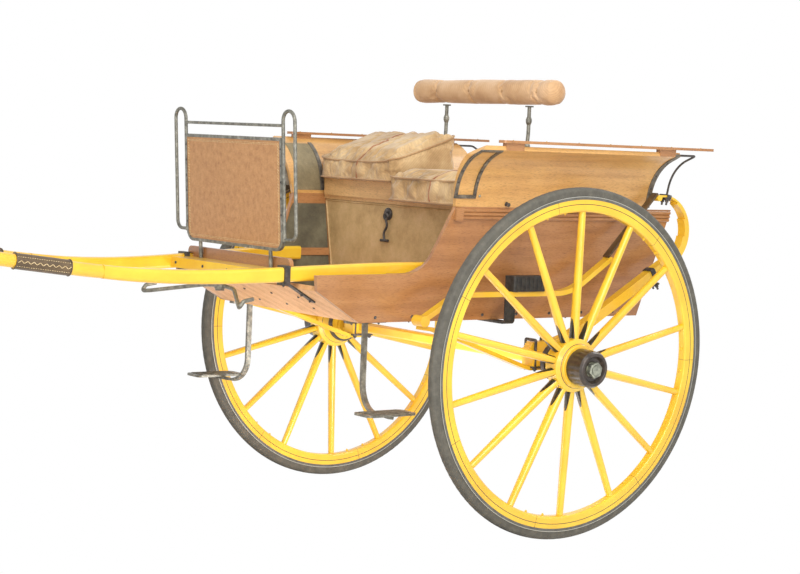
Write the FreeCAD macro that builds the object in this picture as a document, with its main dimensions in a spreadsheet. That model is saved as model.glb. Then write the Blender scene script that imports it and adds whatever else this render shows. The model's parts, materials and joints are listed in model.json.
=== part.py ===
import FreeCAD, Part
import math
import os
from FreeCAD import Placement, Rotation, Vector

# A two-wheeled dog cart for one horse: a varnished wooden body with flared wings, hung on
# C-springs and leather braces, with two shafts, a dash, two step irons and a hinged tailboard.
# Every piece is drawn on the level cart: +X towards the horse, +Y to the cart's left, +Z up,
# origin at the middle of the axle. The cart is then parked nose-down on its tyres and shaft tips.

# ---------------------------------------------------------------- driving dimensions (mm, degrees)
SIZES = [
    ("wheel_radius", 700, "wheel radius over the rubber tyre"),
    ("tyre_width", 44, "width of the tyre and its steel channel"),
    ("tyre_depth", 46, "radial depth of tyre and channel"),
    ("channel_height", 13, "height of the steel channel's lips"),
    ("channel_lip", 2, "how far the channel lips stand outside the rubber"),
    ("felloe_depth", 49, "radial depth of the wooden rim"),
    ("felloe_width", 42, "width of the wooden rim"),
    ("felloe_round", 9, "rounding of the rim's inner edges"),
    ("spoke_foot_across", 34, "spoke width at the nave, seen from the side"),
    ("spoke_foot_deep", 44, "spoke depth at the nave, along the axle"),
    ("spoke_tip_across", 26, "spoke width at the rim"),
    ("spoke_tip_deep", 30, "spoke depth at the rim"),
    ("dish", 6, "how far the spoke feet stand outboard of the rim"),
    ("nave_radius", 106, "nave radius at the spokes"),
    ("nave_half", 30, "half length of the nave's widest stretch"),
    ("nave_back", 96, "nave length inboard of the rim's middle"),
    ("nave_back_radius", 70, "nave radius at its inboard end"),
    ("nave_front", 54, "nave length outboard of the rim's middle"),
    ("nave_front_radius", 84, "nave radius at its outboard end"),
    ("back_band_width", 24, "width of the iron band at the nave's back"),
    ("band_thickness", 8, "thickness of the nave's iron band"),
    ("hub_cap_radius", 72, "radius of the hub cap"),
    ("hub_cap_length", 88, "length of the hub cap"),
    ("hub_nut_radius", 29, "radius of the oil cap on the hub cap"),
    ("hub_nut_length", 8, "how far the oil cap stands out of the hub cap"),
    ("hub_recess", 16, "depth of the hollow round the oil cap"),
    ("arm_radius", 26, "radius of the axle arm inside the nave"),
    ("arm_clearance", 0.05, "running clearance round the axle arm"),
    ("end_play", 1.5, "gap between the axle collar and the nave"),
    ("bed_end", 53.59, "length of the axle bed between a spring saddle and the collar"),
    ("saddle_lap", 12, "how far a spring saddle is wider than its spring on each side"),
    ("camber", 2.3, "outward lean of each wheel"),
    ("axle_square", 42, "side of the square axle bed"),
    ("collar_radius", 44, "radius of the collar at the axle arm's root"),
    ("collar_width", 16, "width of the collar"),
    ("body_bottom", 150, "height of the body's underside over the axle"),
    ("body_top", 605, "height of the joint between side board and wing"),
    ("bottom_half", 500, "half width of the body at its underside"),
    ("side_flare", 10, "outward lean of the side boards"),
    ("board", 18, "thickness of the side boards, wings and tailboard"),
    ("floor_board", 20, "thickness of the floor boards"),
    ("body_front", 1029, "front tip of the side boards"),
    ("body_rear", 648, "rear end of the side boards at the floor"),
    ("rear_rake", 94, "how much further back the side boards reach at their top"),
    ("toe_start", 804, "where the floor turns up into the toe board"),
    ("toe_tip_low", 276, "height of the side boards' front lower corner"),
    ("toe_tip_high", 336, "height of the side boards' front upper corner"),
    ("wing_rise", 226, "rise of the wings' lips above the side boards"),
    ("wing_half", 750, "half width over the wings"),
    ("wing_bend", 200, "radius of the wing's curve"),
    ("wing_front", 446, "front end of the wings"),
    ("wing_rear", 618, "rear end of the wings"),
    ("rail_front", 338, "front end of the top rail"),
    ("rail_rear", 800, "rear end of the top rail"),
    ("rail_width", 46, "width of the top rail"),
    ("rail_thickness", 11, "thickness of the top rail"),
    ("rail_rise", 39, "rise of the top rail's upper face above the wings' lips"),
    ("stay_spread", 260, "half distance between the dash's two stays"),
    ("stay_radius", 7.5, "radius of the dash's two stays"),
    ("strap_foot", 34, "how far above the wing's foot its iron starts"),
    ("strap_width", 14, "width of the wings' iron straps"),
    ("strap_thickness", 6, "thickness of the wings' iron straps"),
    ("hoop_reach", 92, "how far the rear hoops stand behind the wings"),
    ("rear_hoop_radius", 4.5, "radius of the rear hoops' rod"),
    ("seat_gap", 0.3, "gap left where a rigid piece seats on a curved or slanted one"),
    ("bead", 15, "width of one bead of the waist moulding"),
    ("bead_stand", 9, "how far the moulding stands out"),
    ("seat_front", 250, "front face of the seat box"),
    ("seat_sink", 5, "how far the seat deck lies below the side boards' upper edges"),
    ("deck_board", 16, "thickness of the seat deck and seat front"),
    ("riser_height", 74, "height of the driver's seat riser"),
    ("riser_front", 300, "front of the driver's seat riser"),
    ("seat_back", 120, "where the front cushions end behind the middle of the axle"),
    ("cushion_thickness", 125, "thickness of the passenger's cushion"),
    ("driver_thickness", 110, "thickness of the driver's cushion at its front"),
    ("driver_rise", 116, "how much thicker the driver's wedge-shaped cushion is at its back"),
    ("driver_short", 60, "how much sooner the driver's cushion ends at the back"),
    ("seat_divide", -16, "line between the two front seats, measured left of the middle"),
    ("rear_thickness", 100, "thickness of the rear cushion"),
    ("seat_space", 130, "space between the front and the rear cushions"),
    ("cushion_soft", 26, "radius of the cushions' edges"),
    ("cushion_inset", 6, "how far the cushions stay clear of the side boards"),
    ("handle_height", 60, "how far the drop handle's rosette lies below the seat deck"),
    ("handle_length", 112, "length of the drop handle below its rosette"),
    ("rosette_radius", 26, "radius of the drop handle's rosette"),
    ("soft_gap", 0.3, "gap left round the soft pieces"),
    ("roll_radius", 56, "radius of the backrest roll"),
    ("roll_half", 480, "half length of the backrest roll"),
    ("roll_rise", 474, "rise of the backrest roll's middle above the seat deck"),
    ("roll_behind", 178, "how far the roll stands behind the axle"),
    ("stanchion_half", 280, "half the distance between the backrest irons"),
    ("stanchion_radius", 8, "radius of the backrest irons"),
    ("shaft_depth", 57, "depth of the shafts at the body"),
    ("shaft_width", 44, "width of the shafts at the body"),
    ("shaft_round", 25, "radius of the round stretch of the shafts"),
    ("shaft_tip_radius", 19, "radius of the ball at the shaft tips"),
    ("leather_start", 46, "where the leather on a shaft begins along its round part"),
    ("leather_length", 214, "length of the leather on a shaft"),
    ("leather_thickness", 4, "thickness of the leather sewn on the shafts"),
    ("dash_half", 355, "half width of the dash panel"),
    ("dash_low", 412, "height of the dash panel's lower edge"),
    ("dash_height", 432, "height of the dash panel"),
    ("dash_front", 1041, "front of the dash panel at its lower edge"),
    ("dash_lean", 3.4, "forward lean of the dash"),
    ("dash_board", 12, "thickness of the dash panel"),
    ("dash_corner", 36, "radius of the dash panel's lower corners"),
    ("dash_iron", 12, "width of the dash frame's iron"),
    ("hoop_radius", 7, "radius of the dash hoops' rod"),
    ("hoop_width", 80, "width of the dash hoops"),
    ("hoop_rise", 55, "rise of the dash hoops above the dash rod"),
    ("rod_rise", 46, "rise of the dash rod above the dash frame"),
    ("rod_radius", 6, "radius of the dash rod"),
    ("front_board_top", 388, "height of the footboard's upright board"),
    ("front_board_half", 376, "half width of the footboard's upright board"),
    ("front_board_notch", 336, "half width of the footboard's upright board between the shafts"),
    ("cross_bar_width", 101, "width of the cross-bar between the shafts"),
    ("cross_bar_depth", 42, "depth of the cross-bar between the shafts"),
    ("spring_clearance", 19.77, "space between the side boards' upper edges and the springs"),
    ("spring_width", 44, "width of the spring leaves"),
    ("leaf", 8, "thickness of one spring leaf"),
    ("c_radius", 150, "radius of the C of the rear springs, at the back plate's middle"),
    ("c_behind", 640, "centre of the C behind the axle"),
    ("c_height", 515, "centre of the C above the axle"),
    ("c_rise", 30, "rise of the rear springs' straight run"),
    ("c_knee", 420, "radius of the bend from the axle into the rising run"),
    ("head_radius", 13, "radius of the eye at the rear springs' heads"),
    ("eye_ahead", 600, "how far the radius arm's eye lies before the axle"),
    ("eye_height", 166, "height of the radius arm's eye"),
    ("loop_level", 264, "height of the body loop's level stretch"),
    ("loop_tip_behind", 356, "how far the body loop's rear eye lies behind the axle"),
    ("loop_tip_height", 400, "height of the body loop's rear eye"),
    ("loop_iron", 20, "thickness of the body loop"),
    ("loop_block", 62, "height of the ribbed block on the body loop"),
    ("bracket_lap", 70, "how far the body loop's brackets lap under the floor"),
    ("eye_radius", 22, "radius of the eye that joins radius arm and body loop"),
    ("loop_tip_radius", 11, "radius of the body loop's rear eye"),
    ("bracket_iron", 9, "thickness of the body loop's brackets"),
    ("arm_thickness", 16, "thickness of the radius arms"),
    ("brace_width", 34, "width of the leather braces"),
    ("brace_thickness", 8, "thickness of the leather braces"),
    ("clip_iron", 6, "thickness of the shaft clips and their straps"),
    ("swingletree_half", 370, "half length of the swingletree"),
    ("swingletree_radius", 8, "radius of the swingletree's bar"),
    ("boss_radius", 22, "radius of the swingletree's boss"),
    ("pivot_radius", 8, "radius of the swingletree's pin"),
    ("pivot_clearance", 0.05, "running clearance round the swingletree's pin"),
    ("step_half", 620, "half the distance between the step treads"),
    ("step_drop", 190, "depth of the step treads below the axle"),
    ("step_iron", 22, "width of the step irons"),
    ("step_bend", 104, "radius of the step irons' bend"),
    ("tread_length", 230, "length of the step treads"),
    ("tread_width", 110, "width of the step treads"),
    ("tread_thickness", 9, "thickness of the step treads"),
    ("tail_gap", 5, "clearance round the tailboard"),
    ("hinge_radius", 9, "radius of the tailboard's hinge barrels"),
    ("hinge_pin", 5, "radius of the tailboard's hinge pin"),
    ("hinge_clearance", 0.05, "running clearance round the hinge pin"),
]
SPOKES = 14

doc = FreeCAD.newDocument("DogCart")
sheet = doc.addObject("Spreadsheet::Sheet", "Sizes")
for row, (alias, value, meaning) in enumerate(SIZES, 1):
    sheet.set("A%d" % row, meaning)
    sheet.set("B%d" % row, str(value))
    sheet.setAlias("B%d" % row, alias)
doc.recompute()


def size(alias):
    """A driving dimension's value, read from the sheet."""
    return float(getattr(sheet, alias))


S = {alias: size(alias) for alias, _, _ in SIZES}
FLARE = math.tan(math.radians(S["side_flare"]))
RIM_OUTER = S["wheel_radius"] - S["tyre_depth"]
RIM_INNER = RIM_OUTER - S["felloe_depth"]
MIRROR = {"left": 1, "right": -1}


def side_face(z):
    """Half width over the side boards' outer faces at height z."""
    return S["bottom_half"] + (z - S["body_bottom"]) * FLARE


def side_inner(z):
    """Half width between the side boards' inner faces at height z."""
    return side_face(z) - S["board"] / math.cos(math.radians(S["side_flare"]))


def between_sides(low, high):
    """Section (Y, Z) of a board that fills the body from side to side between two heights."""
    foot, head = side_inner(low), side_inner(high)
    return [(-foot, low), (foot, low), (head, high), (-head, high)]


# Levels and half widths that follow from the body's.
SEAT = S["body_top"] - S["seat_sink"]
ROLL_Z = SEAT + S["roll_rise"]
WING_TOP = S["body_top"] + S["wing_rise"]
RAIL_TOP = WING_TOP + S["rail_rise"]
SPRING_Y = side_face(S["body_top"]) + S["spring_clearance"] + S["spring_width"] / 2
SADDLE_HALF = S["spring_width"] / 2 + S["saddle_lap"]
NAVE_ROOT = S["nave_back"] + S["end_play"] + S["collar_width"]
TRACK = SPRING_Y + SADDLE_HALF + S["bed_end"] + NAVE_ROOT * math.cos(math.radians(S["camber"]))


# ---------------------------------------------------------------- how the cart is parked
# Each shaft's middle line: station X, half spread Y, height Z, width and depth of the section.
SHAFT_STATIONS = [
    (450, 462, 351, S["shaft_width"], S["shaft_depth"]),
    (1070, 372, 328, S["shaft_width"], S["shaft_depth"]),
    (1400, 322, 318, 48, 54),
    (1800, 290, 338, 50, 50),
]
ROUND_START, ROUND_END = Vector(1880, 286, 346), Vector(2260, 272, 392)
TIP_BEND, TIP_CENTRE = Vector(2520, 268, 413), Vector(2720, 270, 418)

TYRE_CROWN = S["tyre_width"] / 2 - S["channel_lip"] + 2
AXLE_HEIGHT = (S["wheel_radius"] - TYRE_CROWN) * math.cos(math.radians(S["camber"])) + TYRE_CROWN
reach = math.hypot(TIP_CENTRE.x, TIP_CENTRE.z)
PARK_ANGLE = math.degrees(math.atan2(TIP_CENTRE.z, TIP_CENTRE.x)
                          + math.asin((AXLE_HEIGHT - S["shaft_tip_radius"]) / reach))
turn = Rotation(Vector(0, 1, 0), PARK_ANGLE)
front_reach = turn.multVec(TIP_CENTRE).x + S["shaft_tip_radius"]
PARK = Placement(Vector((S["wheel_radius"] - front_reach) / 2, 0, AXLE_HEIGHT), turn)


# ---------------------------------------------------------------- ways of making a piece
def rounded(points, closed=True):
    """Straight runs joined by tangent arcs. A point is a Vector, or (Vector, radius) at a bend."""
    marks = [p if isinstance(p, tuple) else (p, 0.0) for p in points]
    count = len(marks)
    joints = []
    for i, (corner, radius) in enumerate(marks):
        if radius == 0 or (not closed and i in (0, count - 1)):
            joints.append((corner, None, corner))
            continue
        back = (marks[i - 1][0] - corner).normalize()
        ahead = (marks[(i + 1) % count][0] - corner).normalize()
        half = back.getAngle(ahead) / 2
        reach = radius / math.tan(half)
        inward = (back + ahead).normalize()
        middle = corner + inward * (radius / math.sin(half) - radius)
        joints.append((corner + back * reach, middle, corner + ahead * reach))
    pieces = []
    for i, (start, middle, end) in enumerate(joints):
        if middle:
            pieces.append(Part.Arc(start, middle, end))
        if i + 1 < count or closed:
            following = joints[(i + 1) % count][0]
            if end.distanceToPoint(following) > 1e-6:
                pieces.append(Part.LineSegment(end, following))
    return pieces


def flat(points):
    """Sketch points from (x, y) or (x, y, radius)."""
    return [(Vector(p[0], p[1], 0), p[2]) if len(p) == 3 else Vector(p[0], p[1], 0) for p in points]


def new_body(label):
    body = doc.addObject("PartDesign::Body", label)
    body.Label = label
    return body


def sketch(body, role, geometry, offset=None):
    """A sketch on the body's own plane: XY, XZ or YZ."""
    plane = next(f for f in body.Origin.OriginFeatures if f.Role == role + "_Plane")
    drawn = body.newObject("Sketcher::SketchObject", "Sketch")
    drawn.AttachmentSupport = [(plane, "")]
    drawn.MapMode = "FlatFace"
    if offset:
        drawn.AttachmentOffset = Placement(Vector(*offset), Rotation())
    drawn.addGeometry(geometry, False)
    return drawn


def pad(body, drawn, length, symmetric=True):
    """A pad whose length is an expression on the sheet."""
    feature = body.newObject("PartDesign::Pad", "Pad")
    feature.Profile = drawn
    feature.setExpression("Length", length)
    feature.Midplane = symmetric
    return feature


def pocket(body, drawn):
    """A cut right through, both ways from the sketch."""
    feature = body.newObject("PartDesign::Pocket", "Pocket")
    feature.Profile = drawn
    feature.Type = 1
    feature.Midplane = True
    return feature


def keep_inside(body, role, outline, margin=4000):
    """Trims the body to an outline by pocketing away all that lies round it."""
    frame = rounded(flat([(-margin, -margin), (margin, -margin), (margin, margin), (-margin, margin)]))
    return pocket(body, sketch(body, role, frame + rounded(flat(outline))))


def revolve(body, outline):
    """Turns an outline of (axial, radial) points once round the body's Y axis."""
    drawn = sketch(body, "XY", rounded(flat([(p[1], p[0]) + tuple(p[2:]) for p in outline])))
    feature = body.newObject("PartDesign::Revolution", "Turned")
    feature.Profile = drawn
    feature.ReferenceAxis = (drawn, ["V_Axis"])
    feature.Angle = 360
    return feature


def solid(label, shape, placement=PARK):
    """A piece whose form neither a body nor a primitive fits; its sizes come from the sheet."""
    piece = doc.addObject("Part::Feature", label)
    piece.Label = label
    piece.Shape = shape
    piece.Placement = placement
    return piece


def rod(points, radius):
    """A round bar along straight runs joined by tangent arcs."""
    path = Part.Wire([p.toShape() for p in rounded(points, closed=False)])
    start = points[0][0] if isinstance(points[0], tuple) else points[0]
    ahead = points[1][0] if isinstance(points[1], tuple) else points[1]
    section = Part.Wire([Part.makeCircle(radius, start, ahead - start)])
    return path.makePipeShell([section], True, False)


def bar(points, width, thickness, across):
    """A flat bar along a bent route; across is the direction of its width."""
    path = Part.Wire([p.toShape() for p in rounded(points, closed=False)])
    start = points[0][0] if isinstance(points[0], tuple) else points[0]
    ahead = points[1][0] if isinstance(points[1], tuple) else points[1]
    side = Vector(across).normalize() * (width / 2)
    up = (ahead - start).cross(side).normalize() * (thickness / 2)
    corners = [start - side - up, start + side - up, start + side + up, start - side + up]
    section = Part.makePolygon(corners + corners[:1])
    return path.makePipeShell([section], True, False)


def block(x, y, z):
    """A box between two limits on each axis."""
    return Part.makeBox(x[1] - x[0], y[1] - y[0], z[1] - z[0], Vector(x[0], y[0], z[0]))


def fused(shapes):
    joined = shapes[0].fuse(shapes[1:])
    return joined.removeSplitter()


def other_side(shape):
    return shape.mirror(Vector(0, 0, 0), Vector(0, 1, 0))


def pair(label, shape):
    """Left and right pieces of one kind, kept as one node of two solids."""
    return solid(label, Part.makeCompound([shape, other_side(shape)]))


def mirrored(label, source):
    """The right-hand twin of a left-hand piece."""
    twin = doc.addObject("Part::Mirroring", label)
    twin.Label = label
    twin.Source = source
    twin.Normal = Vector(0, 1, 0)
    return twin


def xz(points, y):
    """Points of a route drawn in a side view, set at a given Y."""
    return [(Vector(p[0], y, p[1]), p[2]) if len(p) == 3 else Vector(p[0], y, p[1]) for p in points]


# ---------------------------------------------------------------- wheels
def wheel_place(side):
    """The wheel's own frame: Y is the arm's axis, pointing outboard, origin at the rim's middle."""
    lean = Placement(Vector(0, TRACK, 0), Rotation(Vector(1, 0, 0), -S["camber"]))
    about = Placement(Vector(0, 0, 0), Rotation(Vector(0, 0, 1), 0 if side == "left" else 180))
    return PARK.multiply(about).multiply(lean)


def tyre(side):
    half, lip = S["tyre_width"] / 2, S["channel_lip"]
    top_of_lip = RIM_OUTER + S["channel_height"]
    rubber = half - lip
    crown = S["wheel_radius"] - TYRE_CROWN
    body = new_body("tyre_" + side)
    outline = [(-half, RIM_OUTER), (half, RIM_OUTER), (half, top_of_lip), (rubber, top_of_lip),
               (rubber, crown + TYRE_CROWN * 0.55, 10), (rubber * 0.55, S["wheel_radius"], 12),
               (-rubber * 0.55, S["wheel_radius"], 12), (-rubber, crown + TYRE_CROWN * 0.55, 10),
               (-rubber, top_of_lip), (-half, top_of_lip)]
    revolve(body, outline)
    body.Placement = wheel_place(side)


def rim(side):
    half, soft = S["felloe_width"] / 2, S["felloe_round"]
    body = new_body("rim_" + side)
    revolve(body, [(-half, RIM_OUTER), (-half, RIM_INNER, soft), (half, RIM_INNER, soft), (half, RIM_OUTER)])
    body.Placement = wheel_place(side)


def spokes(side):
    """Nave and spokes: the nave is turned, and one oval tapered spoke is repeated round it."""
    body = new_body("spokes_" + side)
    bore = S["arm_radius"] + S["arm_clearance"]
    half, band = S["nave_half"], S["back_band_width"]
    revolve(body, [(-S["nave_back"], bore), (-S["nave_back"], S["nave_back_radius"]),
                   (-S["nave_back"] + band, S["nave_back_radius"]), (-half - 14, S["nave_front_radius"], 12),
                   (-half, S["nave_radius"], 6), (half, S["nave_radius"], 6),
                   (half + 12, S["nave_front_radius"] + 4, 6), (S["nave_front"], S["nave_front_radius"], 4),
                   (S["nave_front"], bore)])
    foot, tip = S["nave_radius"] - 12, RIM_INNER - 0.3
    ends = []
    for height, across, deep, shift in ((foot, "spoke_foot_across", "spoke_foot_deep", S["dish"]),
                                        (tip, "spoke_tip_across", "spoke_tip_deep", 0)):
        middle = Vector(0, shift, 0)
        oval = Part.Ellipse(middle + Vector(0, S[deep] / 2, 0), middle + Vector(S[across] / 2, 0, 0), middle)
        ends.append(sketch(body, "XY", [oval], (0, 0, height)))
    spoke = body.newObject("PartDesign::AdditiveLoft", "Spoke")
    spoke.Profile = ends[0]
    spoke.Sections = ends[1:]
    axis = next(f for f in body.Origin.OriginFeatures if f.Role == "Y_Axis")
    round_it = body.newObject("PartDesign::PolarPattern", "Spokes")
    round_it.Originals = [spoke]
    round_it.Axis = (axis, [""])
    round_it.Angle = 360
    round_it.Occurrences = SPOKES
    body.Tip = round_it
    body.Placement = wheel_place(side)


def hub_cap(side):
    front, radius = S["nave_front"], S["hub_cap_radius"]
    end = front + S["hub_cap_length"]
    nut, out = S["hub_nut_radius"], end + S["hub_nut_length"]
    body = new_body("hub_cap_" + side)
    revolve(body, [(front, 0), (front, radius), (end - 12, radius, 4), (end, radius - 8, 6),
                   (end, nut + 26, 3), (end - S["hub_recess"], nut + 16, 3), (end - S["hub_recess"], nut),
                   (out - 5, nut), (out, nut - 6), (out, 0)])
    body.Placement = wheel_place(side)


def nave_band(side):
    back, radius = -S["nave_back"], S["nave_back_radius"]
    body = new_body("nave_band_" + side)
    revolve(body, [(back, radius), (back, radius + S["band_thickness"], 2),
                   (back + S["back_band_width"] - 1, radius + S["band_thickness"], 2),
                   (back + S["back_band_width"] - 1, radius)])
    body.Placement = wheel_place(side)


for wheel_side in MIRROR:
    tyre(wheel_side)
    rim(wheel_side)
    spokes(wheel_side)
    hub_cap(wheel_side)
    nave_band(wheel_side)


# ---------------------------------------------------------------- axle and springs
def axle():
    """Square bed with chamfered edges, collars, and round arms that carry the naves."""
    lean = math.radians(S["camber"])
    root = TRACK - (S["nave_back"] + S["end_play"]) * math.cos(lean)
    rise = (S["nave_back"] + S["end_play"]) * math.sin(lean)
    inner = root - S["collar_width"] * math.cos(lean)
    half = S["axle_square"] / 2
    bed = Part.makeBox(2 * half, 2 * inner + 8, 2 * half, Vector(-half, -inner - 4, rise - half))
    long_edges = [e for e in bed.Edges if abs(e.tangentAt(e.FirstParameter).y) > 0.99]
    bed = bed.makeChamfer(7, long_edges)
    outward = Vector(0, math.cos(lean), -math.sin(lean))
    collar_end = Vector(0, TRACK, 0) - outward * (S["nave_back"] + S["end_play"])
    collar = Part.makeCylinder(S["collar_radius"], S["collar_width"],
                               collar_end - outward * S["collar_width"], outward)
    arm = Part.makeCylinder(S["arm_radius"], S["nave_back"] + S["nave_front"] - 6, collar_end, outward)
    saddle = block((-52, 52), (SPRING_Y - SADDLE_HALF, SPRING_Y + SADDLE_HALF),
                   (rise - half - 10, rise + half + 6))
    parts = [bed]
    for shape in (collar, arm, saddle):
        parts += [shape, other_side(shape)]
    solid("axle", fused(parts))
    return rise + half + 6


SADDLE_TOP = axle()


LEAF_SWEEPS = (160, 118, 84, 52, 24)


def leaf_route(number):
    """Side view of one leaf, counted inwards from the back plate: flat foot, rising run, then the C."""
    offset = number * S["leaf"]
    radius = S["c_radius"] - offset
    lead = math.radians(S["c_rise"])
    centre_x, centre_z = -S["c_behind"], S["c_height"]
    foot = SADDLE_TOP + S["leaf"] / 2 + offset
    start_x, start_z = centre_x - radius * math.sin(lead), centre_z - radius * math.cos(lead)
    knee = start_x + (start_z - foot) / math.tan(lead)
    route = [(70 - 6 * number, foot), (knee, foot, S["c_knee"] - offset)]
    bends = 3
    swing = math.radians(LEAF_SWEEPS[number]) / bends
    far = radius / math.cos(swing / 2)
    for i in range(bends):
        angle = lead + swing * (i + 0.5)
        route.append((centre_x - far * math.sin(angle), centre_z - far * math.cos(angle), radius))
    last = lead + swing * bends
    route.append((centre_x - radius * math.sin(last), centre_z - radius * math.cos(last)))
    return route


def c_spring():
    """Back plate with an eye at its head, and shorter leaves stepped on its inside."""
    y = SPRING_Y
    shapes = [bar(xz(leaf_route(i), y), S["spring_width"] - i, S["leaf"], (0, 1, 0))
              for i in range(len(LEAF_SWEEPS))]
    head = leaf_route(0)[-1]
    shapes.append(Part.makeCylinder(S["head_radius"], S["spring_width"],
                                    Vector(head[0], y - S["spring_width"] / 2, head[1] - 6), Vector(0, 1, 0)))
    return fused(shapes)


pair("c_springs", c_spring())


# ---------------------------------------------------------------- radius arms and body loops
EYE = Vector(S["eye_ahead"], SPRING_Y, S["eye_height"])
LOOP_TIP = Vector(-S["loop_tip_behind"], SPRING_Y, S["loop_tip_height"])


def radius_arm():
    """From the axle saddle forward and up to the eye under the body's front."""
    y = SPRING_Y
    low = SADDLE_TOP - S["axle_square"] - 16 - S["seat_gap"] - S["arm_thickness"] / 2
    route = [(-60, low), (60, low, 90), (EYE.x - 60, EYE.z - 34, 60), (EYE.x + 4, EYE.z - 26)]
    arm = bar(xz(route, y), S["spring_width"], S["arm_thickness"], (0, 1, 0))
    reach = S["spring_width"] / 2 + 8
    eye = Part.makeCylinder(S["eye_radius"], 2 * reach, EYE - Vector(0, reach, 0), Vector(0, 1, 0))
    return fused([arm, eye])


def body_loop():
    """The iron that carries the body: eye at the front, level stretch, swept-up rear tip."""
    y = SPRING_Y
    knee = Vector(430, y, S["loop_level"])
    start = EYE + (knee - EYE).normalize() * (S["eye_radius"] + S["seat_gap"])
    route = [(start.x, start.z), (knee.x, knee.z, 160), (-150, S["loop_level"], 260),
             (LOOP_TIP.x + 4, LOOP_TIP.z - 4)]
    loop = bar(xz(route, y), S["spring_width"] - 8, S["loop_iron"], (0, 1, 0))
    tip = Part.makeCylinder(S["loop_tip_radius"], S["spring_width"] - 4,
                            LOOP_TIP - Vector(0, S["spring_width"] / 2 - 2, 0), Vector(0, 1, 0))
    return fused([loop, tip])


pair("radius_arms", radius_arm())
pair("body_loops", body_loop())


# ---------------------------------------------------------------- body boards
def side_boards():
    """One flared board: padded from its slanted section, then trimmed to its side view."""
    body = new_body("side_panel_left")
    low, high = S["body_bottom"], S["body_top"]
    section = [(side_inner(low), low), (side_face(low), low), (side_face(high), high),
               (side_inner(high), high)]
    pad(body, sketch(body, "YZ", rounded(flat(section))), "Sizes.body_front * 3")
    keep_inside(body, "XZ", [
        (-S["body_rear"], low), (S["toe_start"], low), (S["body_front"] - 12, S["toe_tip_low"]),
        (S["body_front"], S["toe_tip_high"]), (530, S["toe_tip_high"] + 4, 130), (418, high),
        (-S["body_rear"] - S["rear_rake"], high)])
    body.Placement = PARK
    mirrored("side_panel_right", body)


WING_FOOT, WING_LIP = math.radians(12), math.radians(68)


def wing_lines():
    """Foot and lip of the wing's outer face, and the directions it leaves and arrives in (Y, Z)."""
    foot = Vector(side_face(S["body_top"]), S["body_top"], 0)
    lip = Vector(S["wing_half"], WING_TOP, 0)
    return (foot, Vector(math.sin(WING_FOOT), math.cos(WING_FOOT), 0),
            lip, Vector(math.sin(WING_LIP), math.cos(WING_LIP), 0))


def wing_section(grow=0.0):
    """Route of the wing's curve from foot to lip, set outwards by grow."""
    foot, rise, lip, reach = wing_lines()
    gap = lip - foot
    along = (gap.x * reach.y - gap.y * reach.x) / (rise.x * reach.y - rise.y * reach.x)
    corner = foot + rise * along
    room = min(along, (lip - corner).Length) / math.tan((WING_LIP - WING_FOOT) / 2)
    bend = min(S["wing_bend"], 0.9 * room)
    out_foot, out_lip = Vector(rise.y, -rise.x, 0), Vector(reach.y, -reach.x, 0)
    bisector = (out_foot + out_lip).normalize() * (grow / math.cos((WING_LIP - WING_FOOT) / 2))
    return [foot + out_foot * grow, (corner + bisector, bend - grow), lip + out_lip * grow]


def wing():
    """A board bent over formers: near vertical at its foot, flaring out to its lip."""
    body = new_body("wing_left")
    outer, inner = wing_section(), wing_section(-S["board"])
    inner[0] = outer[0] - Vector(S["board"] / math.cos(WING_FOOT), 0, 0)
    pad(body, sketch(body, "YZ", rounded(outer + inner[::-1])), "Sizes.body_front * 3")
    keep_inside(body, "XZ", [
        (-S["wing_rear"] + 18, S["body_top"] - 10), (S["wing_front"] - 26, S["body_top"] - 10),
        (S["wing_front"], WING_TOP - 20), (S["wing_front"] - 70, WING_TOP + 60),
        (-S["wing_rear"], WING_TOP + 60)])
    doc.recompute()
    shape = body.Shape.copy()
    body.Placement = PARK
    mirrored("wing_right", body)
    return shape


def floor():
    """Floor boards between the side boards, turned up at the front into the toe board."""
    body = new_body("floor")
    low, high = S["body_bottom"], S["body_bottom"] + S["floor_board"]
    section = between_sides(low, high)
    pad(body, sketch(body, "YZ", rounded(flat(section))), "Sizes.body_front * 3")
    keep_inside(body, "XZ", [(-S["body_rear"] + 30, low - 50), (S["toe_start"], low - 50),
                             (S["toe_start"], high + 50), (-S["body_rear"] + 30, high + 50)])
    body.Placement = PARK


def toe_board():
    """The slanted board under the driver's feet."""
    start, low = S["toe_start"], S["body_bottom"]
    tip_x, tip_z = S["body_front"] - 12, S["toe_tip_low"]
    ahead = Vector(tip_x - start, 0, tip_z - low).normalize()
    normal = Vector(-ahead.z, 0, ahead.x)
    up = normal * S["floor_board"]
    a, b = Vector(start, 0, low), Vector(tip_x, 0, tip_z)
    corners = [a, b, b + up, a + up]
    half = side_inner(tip_z + S["floor_board"])
    outline = Part.makePolygon([Vector(p.x, -half, p.z) for p in corners + corners[:1]])
    board = Part.Face(outline).extrude(Vector(0, 2 * half, 0))
    corners = [Vector(0, y, z) for y, z in between_sides(low - 30, tip_z + 60)]
    trim = Part.Face(Part.makePolygon(corners + corners[:1])).extrude(Vector(tip_x + 50, 0, 0))
    flat_end = block((start - 100, start), (-half, half), (low - 10, low + 60))
    solid("toe_board", board.common(trim).cut(flat_end))


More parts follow.
